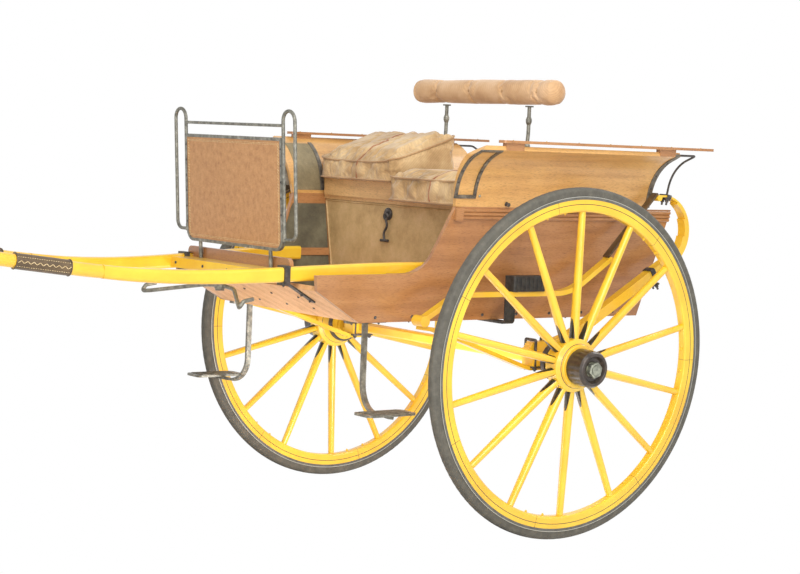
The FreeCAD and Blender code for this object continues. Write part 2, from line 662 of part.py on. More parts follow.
def mouldings():
    """Three beads along the waist of each side."""
    low = S["body_top"] - 3 * S["bead"] - 6
    body_line = [Vector(side_face(low), low, 0)]
    shapes = []
    for i in range(3):
        z0, z1 = low + i * S["bead"], low + (i + 1) * S["bead"]
        shapes.append(((side_face(z0), z0), (side_face(z1), z1)))
    pieces = [Part.LineSegment(Vector(*shapes[-1][1], 0), body_line[0])]
    for (y0, z0), (y1, z1) in shapes:
        middle = Vector((y0 + y1) / 2 + S["bead_stand"], (z0 + z1) / 2, 0)
        pieces.append(Part.Arc(Vector(y0, z0, 0), middle, Vector(y1, z1, 0)))
    body = new_body("moulding_strip")
    pad(body, sketch(body, "YZ", pieces), "Sizes.body_front * 3")
    rear = S["body_rear"] + S["rear_rake"] * 0.9
    keep_inside(body, "XZ", [(-rear, low - 20), (425, low - 20), (418, low + 80), (-rear - 6, low + 80)])
    doc.recompute()
    pair("mouldings", body.Shape.copy())


side_boards()
WING = wing()
floor()
toe_board()
mouldings()


def top_rails():
    """Thin rails above the wings' edges, each on two low blocks."""
    top = RAIL_TOP
    low = top - S["rail_thickness"]
    y0 = S["wing_half"] - 10
    half = S["rail_width"] / 2
    rail = block((-S["rail_rear"], S["rail_front"]), (y0 - half, y0 + half), (low, top))
    ends = [e for e in rail.Edges if abs(e.tangentAt(e.FirstParameter).z) > 0.99]
    rail = rail.makeFillet(12, ends)
    shapes = [rail]
    for x0 in (S["rail_front"] - 110, -S["wing_rear"] + 30):
        shapes.append(block((x0, x0 + 90), (y0 - 14, y0 + 10), (WING_TOP, low + 1)))
    return fused(shapes).cut(WING)


pair("top_rails", top_rails())


def wing_irons():
    """Strap frames bound round the wings' front ends."""
    strap, thick = S["strap_width"], S["strap_thickness"]
    foot, rise, lip, reach = wing_lines()
    route = wing_section(thick / 2)
    run = (route[1][0] - route[0]).Length - route[1][1] * math.tan((WING_LIP - WING_FOOT) / 2)
    low, high = route[0] + rise * min(S["strap_foot"], run - strap), route[-1] - reach * 2
    front, back = S["wing_front"] - 14, S["wing_front"] - 106
    shapes = []
    for x in (front, back):
        line = [Vector(x, low.x, low.y), (Vector(x, route[1][0].x, route[1][0].y), route[1][1]),
                Vector(x, high.x, high.y)]
        shapes.append(bar(line, strap, thick, (1, 0, 0)))
    for point, run, sign in ((low, rise, 1), (high, reach, -1)):
        middle = point + run * (sign * strap / 2)
        ends = [Vector(x, middle.x, middle.y) for x in (front + strap / 2 - 1, back - strap / 2 + 1)]
        shapes.append(bar(ends, strap, thick - 1, (0, run.x, run.y)))
    return fused(shapes)


def rear_hoops():
    """An open loop of thin rod behind each wing, following the wing's curve."""
    foot, rise, lip, reach = wing_lines()
    route = wing_section(-S["board"] / 2)
    low, high = route[0] + rise * 46, route[-1] - reach * 6
    back = -S["wing_rear"] - S["hoop_reach"]
    bend = (Vector(back, route[1][0].x, route[1][0].y), route[1][1] - 40)
    touch = S["seat_gap"]
    return rod([Vector(-S["wing_rear"] - touch, high.x, high.y), (Vector(back, high.x, high.y), 12), bend,
                (Vector(back, low.x, low.y), 12), Vector(-S["wing_rear"] + 14 - touch, low.x, low.y)],
               S["rear_hoop_radius"])


pair("wing_irons", wing_irons())
pair("rear_hoops", rear_hoops())


# ---------------------------------------------------------------- seats
def seat_front():
    """Upright front of the seat box, between the side boards."""
    body = new_body("seat_front")
    low = S["body_bottom"] + S["floor_board"]
    high = SEAT - S["deck_board"]
    section = between_sides(low, high)
    drawn = sketch(body, "YZ", rounded(flat(section)), (0, 0, S["seat_front"] - S["deck_board"]))
    pad(body, drawn, "Sizes.deck_board", symmetric=False)
    body.Placement = PARK


def seat_deck():
    """The seat's lid boards, with the driver's boxed riser on top."""
    top, thick = SEAT, S["deck_board"]
    half = side_inner(top - thick)
    rear = -S["body_rear"] - S["rear_rake"] + 40
    deck = block((rear, S["seat_front"] + 8), (-half, half), (top - thick, top))
    high, wall = top + S["riser_height"], 14
    back, front = -S["seat_back"], S["riser_front"] - 30
    divide = S["seat_divide"] - 12
    riser = block((back, front), (-half + wall, divide), (top, high))
    hollow = block((back + wall, front - wall), (-half + 2 * wall, divide - wall), (top, high - wall))
    solid("seat_deck", fused([deck, riser.cut(hollow)]))


def cushion(label, x, y, z, rise=0):
    """A plain cushion with rounded upper edges, thicker at its back by rise."""
    corners = [Vector(x[0], y[0], z[0]), Vector(x[1], y[0], z[0]), Vector(x[1], y[0], z[1]),
               Vector(x[0], y[0], z[1] + rise)]
    outline = Part.makePolygon(corners + corners[:1])
    plain = Part.Face(outline).extrude(Vector(0, y[1] - y[0], 0))
    edges = [e for e in plain.Edges if e.CenterOfMass.z > z[0] + 1]
    solid(label, plain.makeFillet(S["cushion_soft"], edges))


def cushions():
    half = side_inner(SEAT) - S["cushion_inset"]
    back, front, divide = -S["seat_back"], S["riser_front"], S["seat_divide"]
    deck, riser = SEAT + S["soft_gap"], SEAT + S["riser_height"] + S["soft_gap"]
    cushion("cushion_driver", (back + S["driver_short"], front + 10), (-half, divide - 4),
            (riser, riser + S["driver_thickness"]), S["driver_rise"])
    cushion("cushion_passenger", (back, front + 40), (divide + 6, half), (deck, deck + S["cushion_thickness"]))
    rear = 20 - S["body_rear"]
    cushion("cushion_rear", (rear, back - S["seat_space"]), (-half, half), (deck, deck + S["rear_thickness"]))


def backrest():
    """A padded roll on two irons that stand on the seat deck."""
    body = new_body("backrest_roll")
    r, half = S["roll_radius"], S["roll_half"]
    revolve(body, [(-half, 0), (-half, r, 40), (half, r, 40), (half, 0)])
    body.Placement = PARK.multiply(Placement(Vector(-S["roll_behind"], 0, ROLL_Z), Rotation()))
    shapes = []
    x, radius = -S["roll_behind"], S["stanchion_radius"]
    under = ROLL_Z - r - S["soft_gap"]
    for sign in (1, -1):
        y = sign * S["stanchion_half"]
        bend, knob = SEAT + 0.42 * S["roll_rise"], SEAT + 0.53 * S["roll_rise"]
        shapes.append(rod([Vector(x, y, SEAT), (Vector(x, y, bend), 60),
                           (Vector(x - 8, y, 2 * knob - bend), 60), Vector(x - 8, y, under - 6)], radius))
        shapes.append(Part.makeSphere(radius + 5, Vector(x - 4, y, knob)))
        shapes.append(block((x - 20, x + 4), (y - 13, y + 13), (under - 6, under)))
        shapes.append(Part.makeCylinder(24, 8, Vector(x, y, SEAT), Vector(0, 0, 1)))
    solid("backrest_irons", Part.makeCompound([fused(shapes[:4]), fused(shapes[4:])]))


def seat_handle():
    """A drop handle that hangs from a round rosette on the seat front."""
    x, y, z = S["seat_front"], -87, SEAT - S["handle_height"]
    out, foot_z = x + 15, z - S["handle_length"]
    rosette = Part.makeCylinder(S["rosette_radius"], 7, Vector(x, y, z), Vector(1, 0, 0))
    neck = Part.makeCylinder(6, 14, Vector(x + 5, y, z + 4), Vector(1, 0, 0))
    eye = Part.makeTorus(13, 4.5, Vector(out, y, z - 9), Vector(1, 0, 0))
    drop = rod([Vector(out, y, z - 22), (Vector(out, y + 14, z - 50), 24), (Vector(out, y - 12, z - 80), 24),
                Vector(out, y - 4, foot_z)], 5)
    foot = rod([Vector(out, y - 30, foot_z), Vector(out, y + 22, foot_z)], 6)
    solid("seat_handle", fused([rosette, neck, eye, drop, foot]))


seat_front()
seat_deck()
cushions()
backrest()
seat_handle()


# ---------------------------------------------------------------- tailboard
HINGE = Vector(-S["body_rear"] + 6, 0, S["body_bottom"] + 4)


def tailboard():
    """A framed board across the body's rear, hinged at the floor, with its hinge barrels."""
    gap, thick = S["tail_gap"], S["board"]
    low, high = S["body_bottom"] + S["floor_board"] + gap + 8, S["body_top"] - 22
    rake = S["rear_rake"] / (S["body_top"] - S["body_bottom"])
    def plane(z, back):
        return -S["body_rear"] - (z - S["body_bottom"]) * rake + back
    corners = [(plane(low, 14), low), (plane(low, 14 + thick), low),
               (plane(high, 14 + thick), high), (plane(high, 14), high)]
    half_low, half_high = side_inner(low) - gap, side_inner(high) - gap
    outline = Part.makePolygon([Vector(x, 0, z) for x, z in corners + corners[:1]])
    slab = Part.Face(outline).extrude(Vector(0, 2 * half_high, 0))
    slab.translate(Vector(0, -half_high, 0))
    trim = Part.makePolygon([Vector(-1200, -half_low, low), Vector(-1200, half_low, low),
                             Vector(-1200, half_high, high), Vector(-1200, -half_high, high),
                             Vector(-1200, -half_low, low)])
    slab = slab.common(Part.Face(trim).extrude(Vector(1200, 0, 0)))
    shapes = [slab]
    for y in (-300, 300):
        barrel = Part.makeCylinder(S["hinge_radius"], 60, HINGE + Vector(0, y - 30, 0), Vector(0, 1, 0))
        bore = Part.makeCylinder(S["hinge_pin"] + S["hinge_clearance"], 60,
                                 HINGE + Vector(0, y - 30, 0), Vector(0, 1, 0))
        strap = block((plane(low, 8), plane(low, 15)), (y - 22, y + 22), (HINGE.z, low + 120))
        tilt = Rotation(Vector(0, 1, 0), -math.degrees(math.atan(rake)))
        strap.Placement = Placement(Vector(), tilt, Vector(plane(low, 14), y, low))
        shapes.append(fused([strap, barrel]).cut(bore))
    solid("tailboard", fused(shapes))


def tail_hinges():
    """Pins and knuckles bolted under the floor's rear edge."""
    shapes = []
    for y in (-300, 300):
        pin = Part.makeCylinder(S["hinge_pin"], 112, HINGE + Vector(0, y - 56, 0), Vector(0, 1, 0))
        parts = [pin]
        for side in (-1, 1):
            start = y + side * (30 + S["hinge_clearance"] + 0.5)
            low, high = sorted((start, start + side * 22))
            parts.append(Part.makeCylinder(S["hinge_radius"], high - low, HINGE + Vector(0, low, 0),
                                           Vector(0, 1, 0)))
            strap = (S["body_bottom"] - 5, S["body_bottom"])
            parts.append(block((HINGE.x, HINGE.x + 90), (low, high), strap))
        shapes.append(fused(parts))
    solid("tail_hinges", Part.makeCompound(shapes))


tailboard()
tail_hinges()


# ---------------------------------------------------------------- shafts and front
def shaft_section(station):
    """A rounded rectangle across the shaft at one station."""
    x, y, z, width, depth = station
    a, b = width / 2, depth / 2
    soft = min(a, b) * 0.55
    corners = [(Vector(x, y - a, z - b), soft), (Vector(x, y + a, z - b), soft),
               (Vector(x, y + a, z + b), soft), (Vector(x, y - a, z + b), soft)]
    return Part.Wire([p.toShape() for p in rounded(corners)])


def shaft():
    """Loft from the flat stretch beside the body to the round stretch, then a taper to the tip."""
    along = (ROUND_END - ROUND_START).normalize()
    rear = Part.makeLoft([shaft_section(s) for s in SHAFT_STATIONS], True, False)
    start = Part.Wire([Part.makeCircle(S["shaft_round"], ROUND_START, along)])
    last = SHAFT_STATIONS[-1]
    root = Part.makeCircle(S["shaft_round"] - 0.5, Vector(last[0] - 6, last[1] + 0.2, last[2] - 0.8), along)
    bridge = Part.makeLoft([Part.Wire([root]), start], True, False)
    straight = Part.makeCylinder(S["shaft_round"], (ROUND_END - ROUND_START).Length, ROUND_START, along)
    neck = TIP_CENTRE - (TIP_CENTRE - TIP_BEND).normalize() * 20
    front = rod([ROUND_END - along * 2, (TIP_BEND, 400), neck], S["shaft_round"] - 5)
    joint = Part.makeSphere(S["shaft_round"], ROUND_END)
    return fused([rear, bridge, straight, joint, front])


SHAFT_SHAPE = shaft()
CROSS_X, CROSS_Z = 1122, 324
shaft_left = solid("shaft_left", SHAFT_SHAPE)
mirrored("shaft_right", shaft_left)


def shaft_leather():
    along = (ROUND_END - ROUND_START).normalize()
    start, length = ROUND_START + along * S["leather_start"], S["leather_length"]
    outer = Part.makeCylinder(S["shaft_round"] + S["leather_thickness"], length, start, along)
    bore = Part.makeCylinder(S["shaft_round"], length, start, along)
    return outer.cut(bore)


def shaft_tip():
    """A metal cap with a ball end."""
    along = (TIP_CENTRE - TIP_BEND).normalize()
    base = TIP_CENTRE - along * 20
    ball = Part.makeSphere(S["shaft_tip_radius"], TIP_CENTRE)
    collar = Part.makeCylinder(S["shaft_round"] - 4, 12, base, along)
    return fused([collar, ball])


pair("shaft_leathers", shaft_leather())
pair("shaft_tips", shaft_tip())


def cross_bar():
    """The flat yellow bar framed between the shafts in front of the body."""
    low, high = CROSS_Z - S["cross_bar_depth"] / 2, CROSS_Z + S["cross_bar_depth"] / 2
    start = FRONT_BOARD_X + S["seat_gap"]
    reach = SHAFT_STATIONS[0][1]
    blank = block((start, start + S["cross_bar_width"]), (-reach, reach), (low, high))
    between = blank.cut([SHAFT_SHAPE, other_side(SHAFT_SHAPE), SHAFT_IRON, other_side(SHAFT_IRON)])
    solid("cross_bar", min(between.Solids, key=lambda part: abs(part.CenterOfMass.y)))


def toe_line(x):
    """Height of the toe board's underside at station x."""
    slope = (S["toe_tip_low"] - S["body_bottom"]) / (S["body_front"] - 12 - S["toe_start"])
    return S["body_bottom"] + (x - S["toe_start"]) * slope, slope


def toe_top(x):
    """Height of the toe board's upper face at station x."""
    height, slope = toe_line(x)
    return height + S["floor_board"] * math.hypot(1, slope)


def shaft_iron():
    """A clip round the shaft and a strap that carries it under the toe board."""
    x, y, z, width, depth = SHAFT_STATIONS[1]
    thick = S["clip_iron"]
    clip = block((x - 12, x + 12), (y - width / 2 - thick, y + width / 2 + thick),
                 (z - depth / 2 - 2 * thick, z + depth / 2 + thick))
    clip = clip.cut(SHAFT_SHAPE)
    height, slope = toe_line(S["toe_start"])
    drop = (thick / 2 + S["seat_gap"]) * math.hypot(1, slope)
    level = z - depth / 2 - 1.5 * thick
    knee = S["toe_start"] + (level - height + drop) / slope
    end = 930
    strap = bar([Vector(x + 12, y, level), (Vector(knee, y, level), 40),
                 Vector(end, y, toe_line(end)[0] - drop)], 28, thick, (0, 1, 0))
    return fused([clip, strap])


def front_board():
    """Upright board with rounded upper corners, notched over the shafts, on the toe board's end."""
    body = new_body("front_board")
    high, half, notch = S["front_board_top"], S["front_board_half"], S["front_board_notch"]
    low = toe_top(FRONT_BOARD_X) + S["seat_gap"]
    over = SHAFT_TOP + S["seat_gap"]
    drawn = sketch(body, "YZ", rounded(flat([
        (-notch, low), (notch, low), (notch, over), (half, over), (half, high, 22), (-half, high, 22),
        (-half, over), (-notch, over)])), (0, 0, FRONT_BOARD_X - S["board"]))
    pad(body, drawn, "Sizes.board", symmetric=False)
    body.Placement = PARK


def dash_place():
    """The dash's own frame: Y across, Z up the panel, origin at its lower edge's middle."""
    lean = Rotation(Vector(0, 1, 0), S["dash_lean"])
    return PARK.multiply(Placement(Vector(S["dash_front"] + 20, 0, S["dash_low"]), lean))


def dash_panel():
    body = new_body("dash_panel")
    iron, half, high = S["dash_iron"], S["dash_half"], S["dash_height"]
    soft = S["dash_corner"]
    drawn = sketch(body, "YZ", rounded(flat([(-half + iron, iron, soft), (half - iron, iron, soft),
                                             (half - iron, high - iron), (-half + iron, high - iron)])))
    pad(body, drawn, "Sizes.dash_board")
    body.Placement = dash_place()


def dash_frame():
    """Iron frame, side hoops, upper rod and two stays, forged as one."""
    iron, half, high = S["dash_iron"], S["dash_half"], S["dash_height"]
    soft = S["dash_corner"]
    radius = S["hoop_radius"]
    outer = rounded(flat([(-half, 0, soft + iron), (half, 0, soft + iron), (half, high), (-half, high)]))
    inner = rounded(flat([(-half + iron, iron, soft), (half - iron, iron, soft),
                          (half - iron, high - iron), (-half + iron, high - iron)]))
    outer_face, inner_face = (Part.Face(Part.Wire([p.toShape() for p in edge])) for edge in (outer, inner))
    thick = S["dash_board"] + 4
    frame = outer_face.cut(inner_face).extrude(Vector(0, 0, thick))
    frame.Placement = Placement(Vector(-thick / 2, 0, 0), Rotation(Vector(1, 1, 1), 120))
    shapes = [frame]
    level = high + S["rod_rise"]
    top = level + S["hoop_rise"]
    bend = S["hoop_width"] / 2 - 1
    foot = soft + iron - 2
    stay_foot = CROSS_Z + S["cross_bar_depth"] / 2 + 1 - S["dash_low"]
    for sign in (1, -1):
        inner_y = sign * (half + radius - 3)
        outer_y = inner_y + sign * S["hoop_width"]
        shapes.append(rod([Vector(0, inner_y, foot + 14), (Vector(0, inner_y, top), bend),
                           (Vector(0, outer_y, top), bend), (Vector(0, outer_y, foot), 34),
                           Vector(0, sign * (half - 4), foot)], radius))
        shapes.append(rod([Vector(0, inner_y, foot - 8), Vector(0, inner_y, foot + 20)], radius + 1))
        stay_y = sign * S["stay_spread"]
        shapes.append(rod([Vector(0, stay_y, 4), Vector(0, stay_y, stay_foot)], S["stay_radius"]))
    shapes.append(rod([Vector(0, -half - radius, level), Vector(0, half + radius, level)], S["rod_radius"]))
    solid("dash_frame", fused(shapes), dash_place())


FRONT_BOARD_X = S["body_front"] + 19.4
SHAFT_SLICE = SHAFT_SHAPE.common(block((FRONT_BOARD_X - S["board"], FRONT_BOARD_X), (0, S["bottom_half"]),
                                       (0, S["body_top"])))
SHAFT_TOP = SHAFT_SLICE.optimalBoundingBox().ZMax
SHAFT_IRON = shaft_iron()
pair("shaft_irons", SHAFT_IRON)
cross_bar()
front_board()
dash_panel()
dash_frame()


def swingletree():
    """A forward-bowed iron bar that turns on a pin, with a trace hook at each end."""
    pivot = Vector(CROSS_X, 0, PIVOT_Z)
    shapes = []
    for sign in (1, -1):
        end = Vector(CROSS_X + 140, sign * S["swingletree_half"], PIVOT_Z - 52)
        shapes.append(rod([pivot - Vector(8, 0, 0), (pivot + Vector(4, sign * 110, -6), 150),
                           (end - Vector(18, sign * 34, -4), 60), (end, 9), (end + Vector(-18, 0, 24), 14),
                           end + Vector(-62, sign * -4, 32)], S["swingletree_radius"]))
    boss = Part.makeCylinder(S["boss_radius"], 24, pivot - Vector(0, 0, 12), Vector(0, 0, 1))
    bore = Part.makeCylinder(S["pivot_radius"] + S["pivot_clearance"], 60, pivot - Vector(0, 0, 30),
                             Vector(0, 0, 1))
    solid("swingletree", fused(shapes + [boss]).cut(bore))


def pivot_pin():
    """The bolt that hangs the swingletree under the cross-bar, with its washer and nut."""
    foot = Vector(CROSS_X, 0, PIVOT_Z)
    top = CROSS_Z - S["cross_bar_depth"] / 2
    pin = Part.makeCylinder(S["pivot_radius"], top - PIVOT_Z + 20, foot - Vector(0, 0, 20), Vector(0, 0, 1))
    head = Part.makeCylinder(S["boss_radius"] - 4, 7, foot - Vector(0, 0, 20), Vector(0, 0, 1))
    shoulder = Part.makeCylinder(S["boss_radius"] - 2, top - PIVOT_Z - 13, foot + Vector(0, 0, 13),
                                 Vector(0, 0, 1))
    solid("swingletree_pin", fused([pin, head, shoulder]))


def step():
    """A step iron: flange under the body, straight drop, outward bend and a level tread."""
    y = 418
    x, top = 715, S["body_bottom"] - 8
    foot = -S["step_drop"]
    tread_x = 750
    iron = S["step_iron"]
    drop = bar([Vector(x, y, top), (Vector(x, y, foot - 6), S["step_bend"]),
                Vector(tread_x, S["step_half"] + 40, foot - 6)], iron, 12, (1, 0, 0))
    flange = block((x - 90, x + 90), (y - 17, y + 17), (top - 1, S["body_bottom"]))
    length, width = S["tread_length"] / 2, S["tread_width"] / 2
    tread = Part.makeBox(2 * length, 2 * width, S["tread_thickness"],
                         Vector(tread_x - length, S["step_half"] - width, foot))
    edges = [e for e in tread.Edges if abs(e.tangentAt(e.FirstParameter).z) > 0.99]
    tread = tread.makeFillet(22, edges)
    return fused([drop, flange, tread])


PIVOT_Z = 256
swingletree()
pivot_pin()
step_left = solid("step_left", step())
mirrored("step_right", step_left)


# ---------------------------------------------------------------- brackets and braces
def loop_bracket():
    """Iron from under the floor up beside the body loop, with a ribbed block on the loop's top."""
    y, thick = SPRING_Y, S["bracket_iron"]
    x, low = 140, S["body_bottom"] - S["bracket_iron"] / 2
    wall = y - (S["spring_width"] - 8) / 2 - thick / 2
    top = S["loop_level"] + S["loop_iron"] / 2
    high = top + S["loop_block"]
    iron = bar([Vector(x, S["bottom_half"] - S["bracket_lap"], low), (Vector(x, wall, low), 14),
                Vector(x, wall, high)], 50, thick, (1, 0, 0))
    buffer = block((x - 138, x + 25), (wall - thick / 2, y + 30), (top, high))
    edges = [e for e in buffer.Edges if abs(e.tangentAt(e.FirstParameter).z) > 0.99]
    return fused([iron, buffer.makeFillet(8, edges)])


def brace():
    """The leather strap that hangs the body loop's rear eye from the C-spring's head."""
    half = S["brace_thickness"] / 2
    head = Vector(leaf_route(0)[-1][0], SPRING_Y, leaf_route(0)[-1][1] - 6)
    spread = head - LOOP_TIP
    near, far = S["loop_tip_radius"] + half + S["seat_gap"], S["head_radius"] + half + S["seat_gap"]
    angle = math.asin((far - near) / spread.Length)
    along = Rotation(Vector(0, 1, 0), math.degrees(angle)).multVec(Vector(spread).normalize())
    side = Vector(along.z, 0, -along.x)
    return bar([LOOP_TIP + side * near - along * 2, head + side * far + along * 8],
               S["brace_width"], S["brace_thickness"], (0, 1, 0))


pair("loop_brackets", loop_bracket())
pair("braces", brace())


# ---------------------------------------------------------------- check and write
NODES = []
for wheel_side in MIRROR:
    NODES += [name + wheel_side for name in ("tyre_", "rim_", "spokes_", "hub_cap_", "nave_band_")]
NODES += ["axle", "c_springs", "radius_arms", "body_loops", "braces", "loop_brackets",
          "floor", "toe_board", "side_panel_left", "side_panel_right", "wing_left", "wing_right",
          "mouldings", "top_rails", "wing_irons", "rear_hoops", "seat_front", "seat_deck", "seat_handle",
          "cushion_driver", "cushion_passenger", "cushion_rear", "backrest_roll", "backrest_irons",
          "tailboard", "tail_hinges", "shaft_left", "shaft_right", "shaft_leathers", "shaft_tips",
          "shaft_irons", "cross_bar", "front_board", "dash_panel", "dash_frame", "swingletree", "swingletree_pin",
          "step_left", "step_right"]

doc.recompute()
for item in doc.Objects:
    if "Invalid" in item.State or "Error" in item.State:
        raise RuntimeError("%s did not build: %s" % (item.Label, item.State))
os.makedirs("parts", exist_ok=True)
for name in NODES:
    shape = doc.getObjectsByLabel(name)[0].Shape
    if shape.isNull() or not shape.isValid():
        raise RuntimeError("%s has no valid shape" % name)
    shape.exportStep("parts/%s.step" % name)
    print("%-18s %d solids %9.1f cm3" % (name, len(shape.Solids), shape.Volume / 1000))
print("parked nose-down by %.2f degrees" % PARK_ANGLE)
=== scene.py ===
# %% [markdown]
# # A two-wheeled dog cart
# The cart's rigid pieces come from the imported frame, already in place, parked nose-down on its wheels and
# shaft tips. This lesson gives each of them its real finish, replaces the plain soft solids with sewn and
# stuffed ones, and adds what is too small for the frame: bolts, studs, piping, stitches and painted lines.

# %% Load the frame
import json
import math

import bmesh
import bpy
import numpy as np
from mathutils import Matrix, Vector


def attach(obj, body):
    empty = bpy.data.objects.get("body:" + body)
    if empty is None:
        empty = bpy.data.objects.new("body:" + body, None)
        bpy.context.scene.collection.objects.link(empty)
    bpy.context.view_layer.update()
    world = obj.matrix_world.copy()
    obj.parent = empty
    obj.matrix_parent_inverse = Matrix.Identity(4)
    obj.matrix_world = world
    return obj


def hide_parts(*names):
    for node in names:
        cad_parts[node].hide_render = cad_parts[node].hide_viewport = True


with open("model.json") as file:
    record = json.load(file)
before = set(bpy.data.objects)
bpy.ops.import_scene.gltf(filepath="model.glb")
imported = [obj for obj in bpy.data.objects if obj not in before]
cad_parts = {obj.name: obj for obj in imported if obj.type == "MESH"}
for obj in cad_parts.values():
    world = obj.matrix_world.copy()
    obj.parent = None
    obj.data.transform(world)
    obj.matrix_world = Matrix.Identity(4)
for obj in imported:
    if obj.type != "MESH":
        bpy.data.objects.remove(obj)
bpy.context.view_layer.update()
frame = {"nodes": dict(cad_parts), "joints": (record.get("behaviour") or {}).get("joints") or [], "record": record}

# %% [markdown]
# The cart is easiest to describe while it stands level, in millimetres from the middle of its axle: X
# forwards, Y to its left, Z up. The frame holds it parked, so the wheels' joints and the load floor's
# upward direction give the turn and the shift between the two.

# %% The cart's own axes
MM = 0.001
mounts = {mount["name"]: mount for mount in frame["record"]["mounts"]}
joints = {joint["name"]: joint for joint in frame["joints"]}
HUBS = {side: np.array(joints["wheel_%s_spin" % side]["pos_m"]) for side in ("left", "right")}
AXLE = (HUBS["left"] + HUBS["right"]) / 2
UP = np.array(mounts["load_floor"]["axis"])
CART = np.stack([np.cross([0.0, 1.0, 0.0], UP), [0.0, 1.0, 0.0], UP])
NOSE_DOWN = math.atan2(UP[0], UP[2])
ARM = np.array(joints["wheel_left_spin"]["axis"]) @ CART.T
CAMBER = math.atan2(-ARM[2], ARM[1])


def parked(points):
    """Millimetres in the level cart become metres in the parked frame."""
    return AXLE + np.asarray(points, float) * MM @ CART


def levelled(points):
    """Metres in the parked frame become millimetres in the level cart."""
    return (np.reshape(points, (-1, 3)) - AXLE) @ CART.T / MM


def mesh_points(mesh):
    """A mesh's points as rows of X, Y and Z."""
    flat = np.empty(len(mesh.vertices) * 3)
    mesh.vertices.foreach_get("co", flat)
    return flat.reshape(-1, 3)


def cart_points(node):
    """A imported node's points in the level cart."""
    return levelled(mesh_points(frame["nodes"][node].data))


def cart_box(node):
    """Lowest and highest corner of a node in the level cart."""
    points = cart_points(node)
    return points.min(0), points.max(0)


print("nose-down by", round(math.degrees(NOSE_DOWN), 2), "degrees, wheels lean", round(math.degrees(CAMBER), 2))

# %% [markdown]
# Every new shape is a grid of points. A profile can be turned round an axis, a section can be carried along
# a path, and a small shape can be set on many places at once. Rows that shrink to a point close the ends;
# merging doubles then makes a true pole of them.

# %% Shapes from grids
spread = np.linspace


def unit(vectors):
    """Vectors scaled to length one."""
    vectors = np.asarray(vectors, float)
    return vectors / np.linalg.norm(vectors, axis=-1, keepdims=True)


def facing(vector, axis):
    """The vector or its opposite, whichever points to the positive side of an axis."""
    return vector * np.sign(vector[axis])


def net(surface, along=False):
    """Quads over a grid of points (rows, columns, 3), round each row and, if along, from the last row on."""
    index = np.arange(surface.shape[0] * surface.shape[1]).reshape(surface.shape[:2])
    index = np.hstack([index, index[:, :1]])
    if along:
        index = np.vstack([index, index[:1]])
    quads = np.stack([index[:-1, :-1], index[:-1, 1:], index[1:, 1:], index[1:, :-1]], -1)
    return surface.reshape(-1, 3), quads.reshape(-1, 4)


def joined(*shapes):
    """Several shapes as one."""
    starts = np.cumsum([0] + [len(points) for points, _ in shapes[:-1]])
    return (np.concatenate([points for points, _ in shapes]),
            np.concatenate([quads + start for (_, quads), start in zip(shapes, starts)]))


def both_sides(shape):
    """A shape and its mirror image on the cart's other side."""
    points, quads = shape
    return joined(shape, (points * [1, -1, 1], quads[:, ::-1]))


def carried(path, section, side, loop=False):
    """A closed section carried along a path.

    Each ring lies square to the path: its first axis is the part of side that is square to the path's
    direction, its second the cross product of the two. An open path's ends are drawn in to a point.
    """
    path, side = np.asarray(path, float), np.asarray(side, float)
    ahead = unit(np.roll(path, -1, 0) - np.roll(path, 1, 0) if loop else np.gradient(path, axis=0))
    across = unit(side - (ahead @ side)[:, None] * ahead)
    over = np.cross(ahead, across)
    rings = path[:, None] + section[None, :, :1] * across[:, None] + section[None, :, 1:] * over[:, None]
    if loop:
        return net(rings, along=True)
    ends = [np.repeat(path[[i], None], len(section), 1) for i in (0, -1)]
    return net(np.concatenate([ends[0], rings, ends[1]]))


def turned(profile, centre=(0, 0, 0), axis=(0, 0, 1), sides=24):
    """A profile of (distance along the axis, radius) turned round the axis."""
    axis = unit(axis)
    first = unit(np.cross(axis, [0.31, 0.08, 0.95] if abs(axis[2]) < 0.9 else [1, 0, 0]))
    angle = spread(0, 2 * np.pi, sides, endpoint=False)[:, None]
    rim = np.cos(angle) * first + np.sin(angle) * np.cross(axis, first)
    profile = np.asarray(profile, float)
    return net(np.asarray(centre) + profile[:, None, :1] * axis + profile[:, None, 1:] * rim[None])


def set_on(shape, spots, normals, along=None):
    """Copies of a small shape, its own Z along each normal and its X along along, if given: one matrix
    product places them all."""
    points, quads = shape
    spots = np.atleast_2d(spots)
    normals = np.broadcast_to(unit(np.atleast_2d(normals)), spots.shape)
    if along is None:
        helper = np.where(np.abs(normals[:, :1]) < 0.9, [[1.0, 0, 0]], [[0, 1.0, 0]])
        first = unit(np.cross(normals, helper))
    else:
        along = np.broadcast_to(np.atleast_2d(along), spots.shape)
        first = unit(along - (along * normals).sum(1, keepdims=True) * normals)
    copies = spots[:, None] + points @ np.stack([first, np.cross(normals, first), normals], 1)
    return copies.reshape(-1, 3), (quads[None] + len(points) * np.arange(len(spots))[:, None, None]).reshape(-1, 4)


def circle(radius, sides=12):
    """Cosine and sine of evenly spaced angles, times the radius."""
    angle = spread(0, 2 * np.pi, sides, endpoint=False)
    return radius * np.stack([np.cos(angle), np.sin(angle)], -1)


def strap(width, thickness, sides=20, square=0.35):
    """A rounded rectangle: a circle whose cosine and sine are raised to a small power."""
    edge = circle(1, sides)
    return np.sign(edge) * np.abs(edge) ** square * [width / 2, thickness / 2]


def bent(corners, reach=12.0, rounds=3):
    """A path through corners, straight but for a short curve within reach of each. The curve is Chaikin's:
    each round puts new points at a quarter and three quarters of every run."""
    corners = np.asarray(corners, float)
    run = unit(np.diff(corners, axis=0)) * reach
    inner = np.stack([corners[1:-1] - run[:-1], corners[1:-1], corners[1:-1] + run[1:]], 1).reshape(-1, 3)
    path = np.concatenate([corners[:1], inner, corners[-1:]])
    for _ in range(rounds):
        early, late = path[:-1], path[1:]
        cut = np.stack([0.75 * early + 0.25 * late, 0.25 * early + 0.75 * late], 1).reshape(-1, 3)
        path = np.concatenate([path[:1], cut, path[-1:]])
    return path


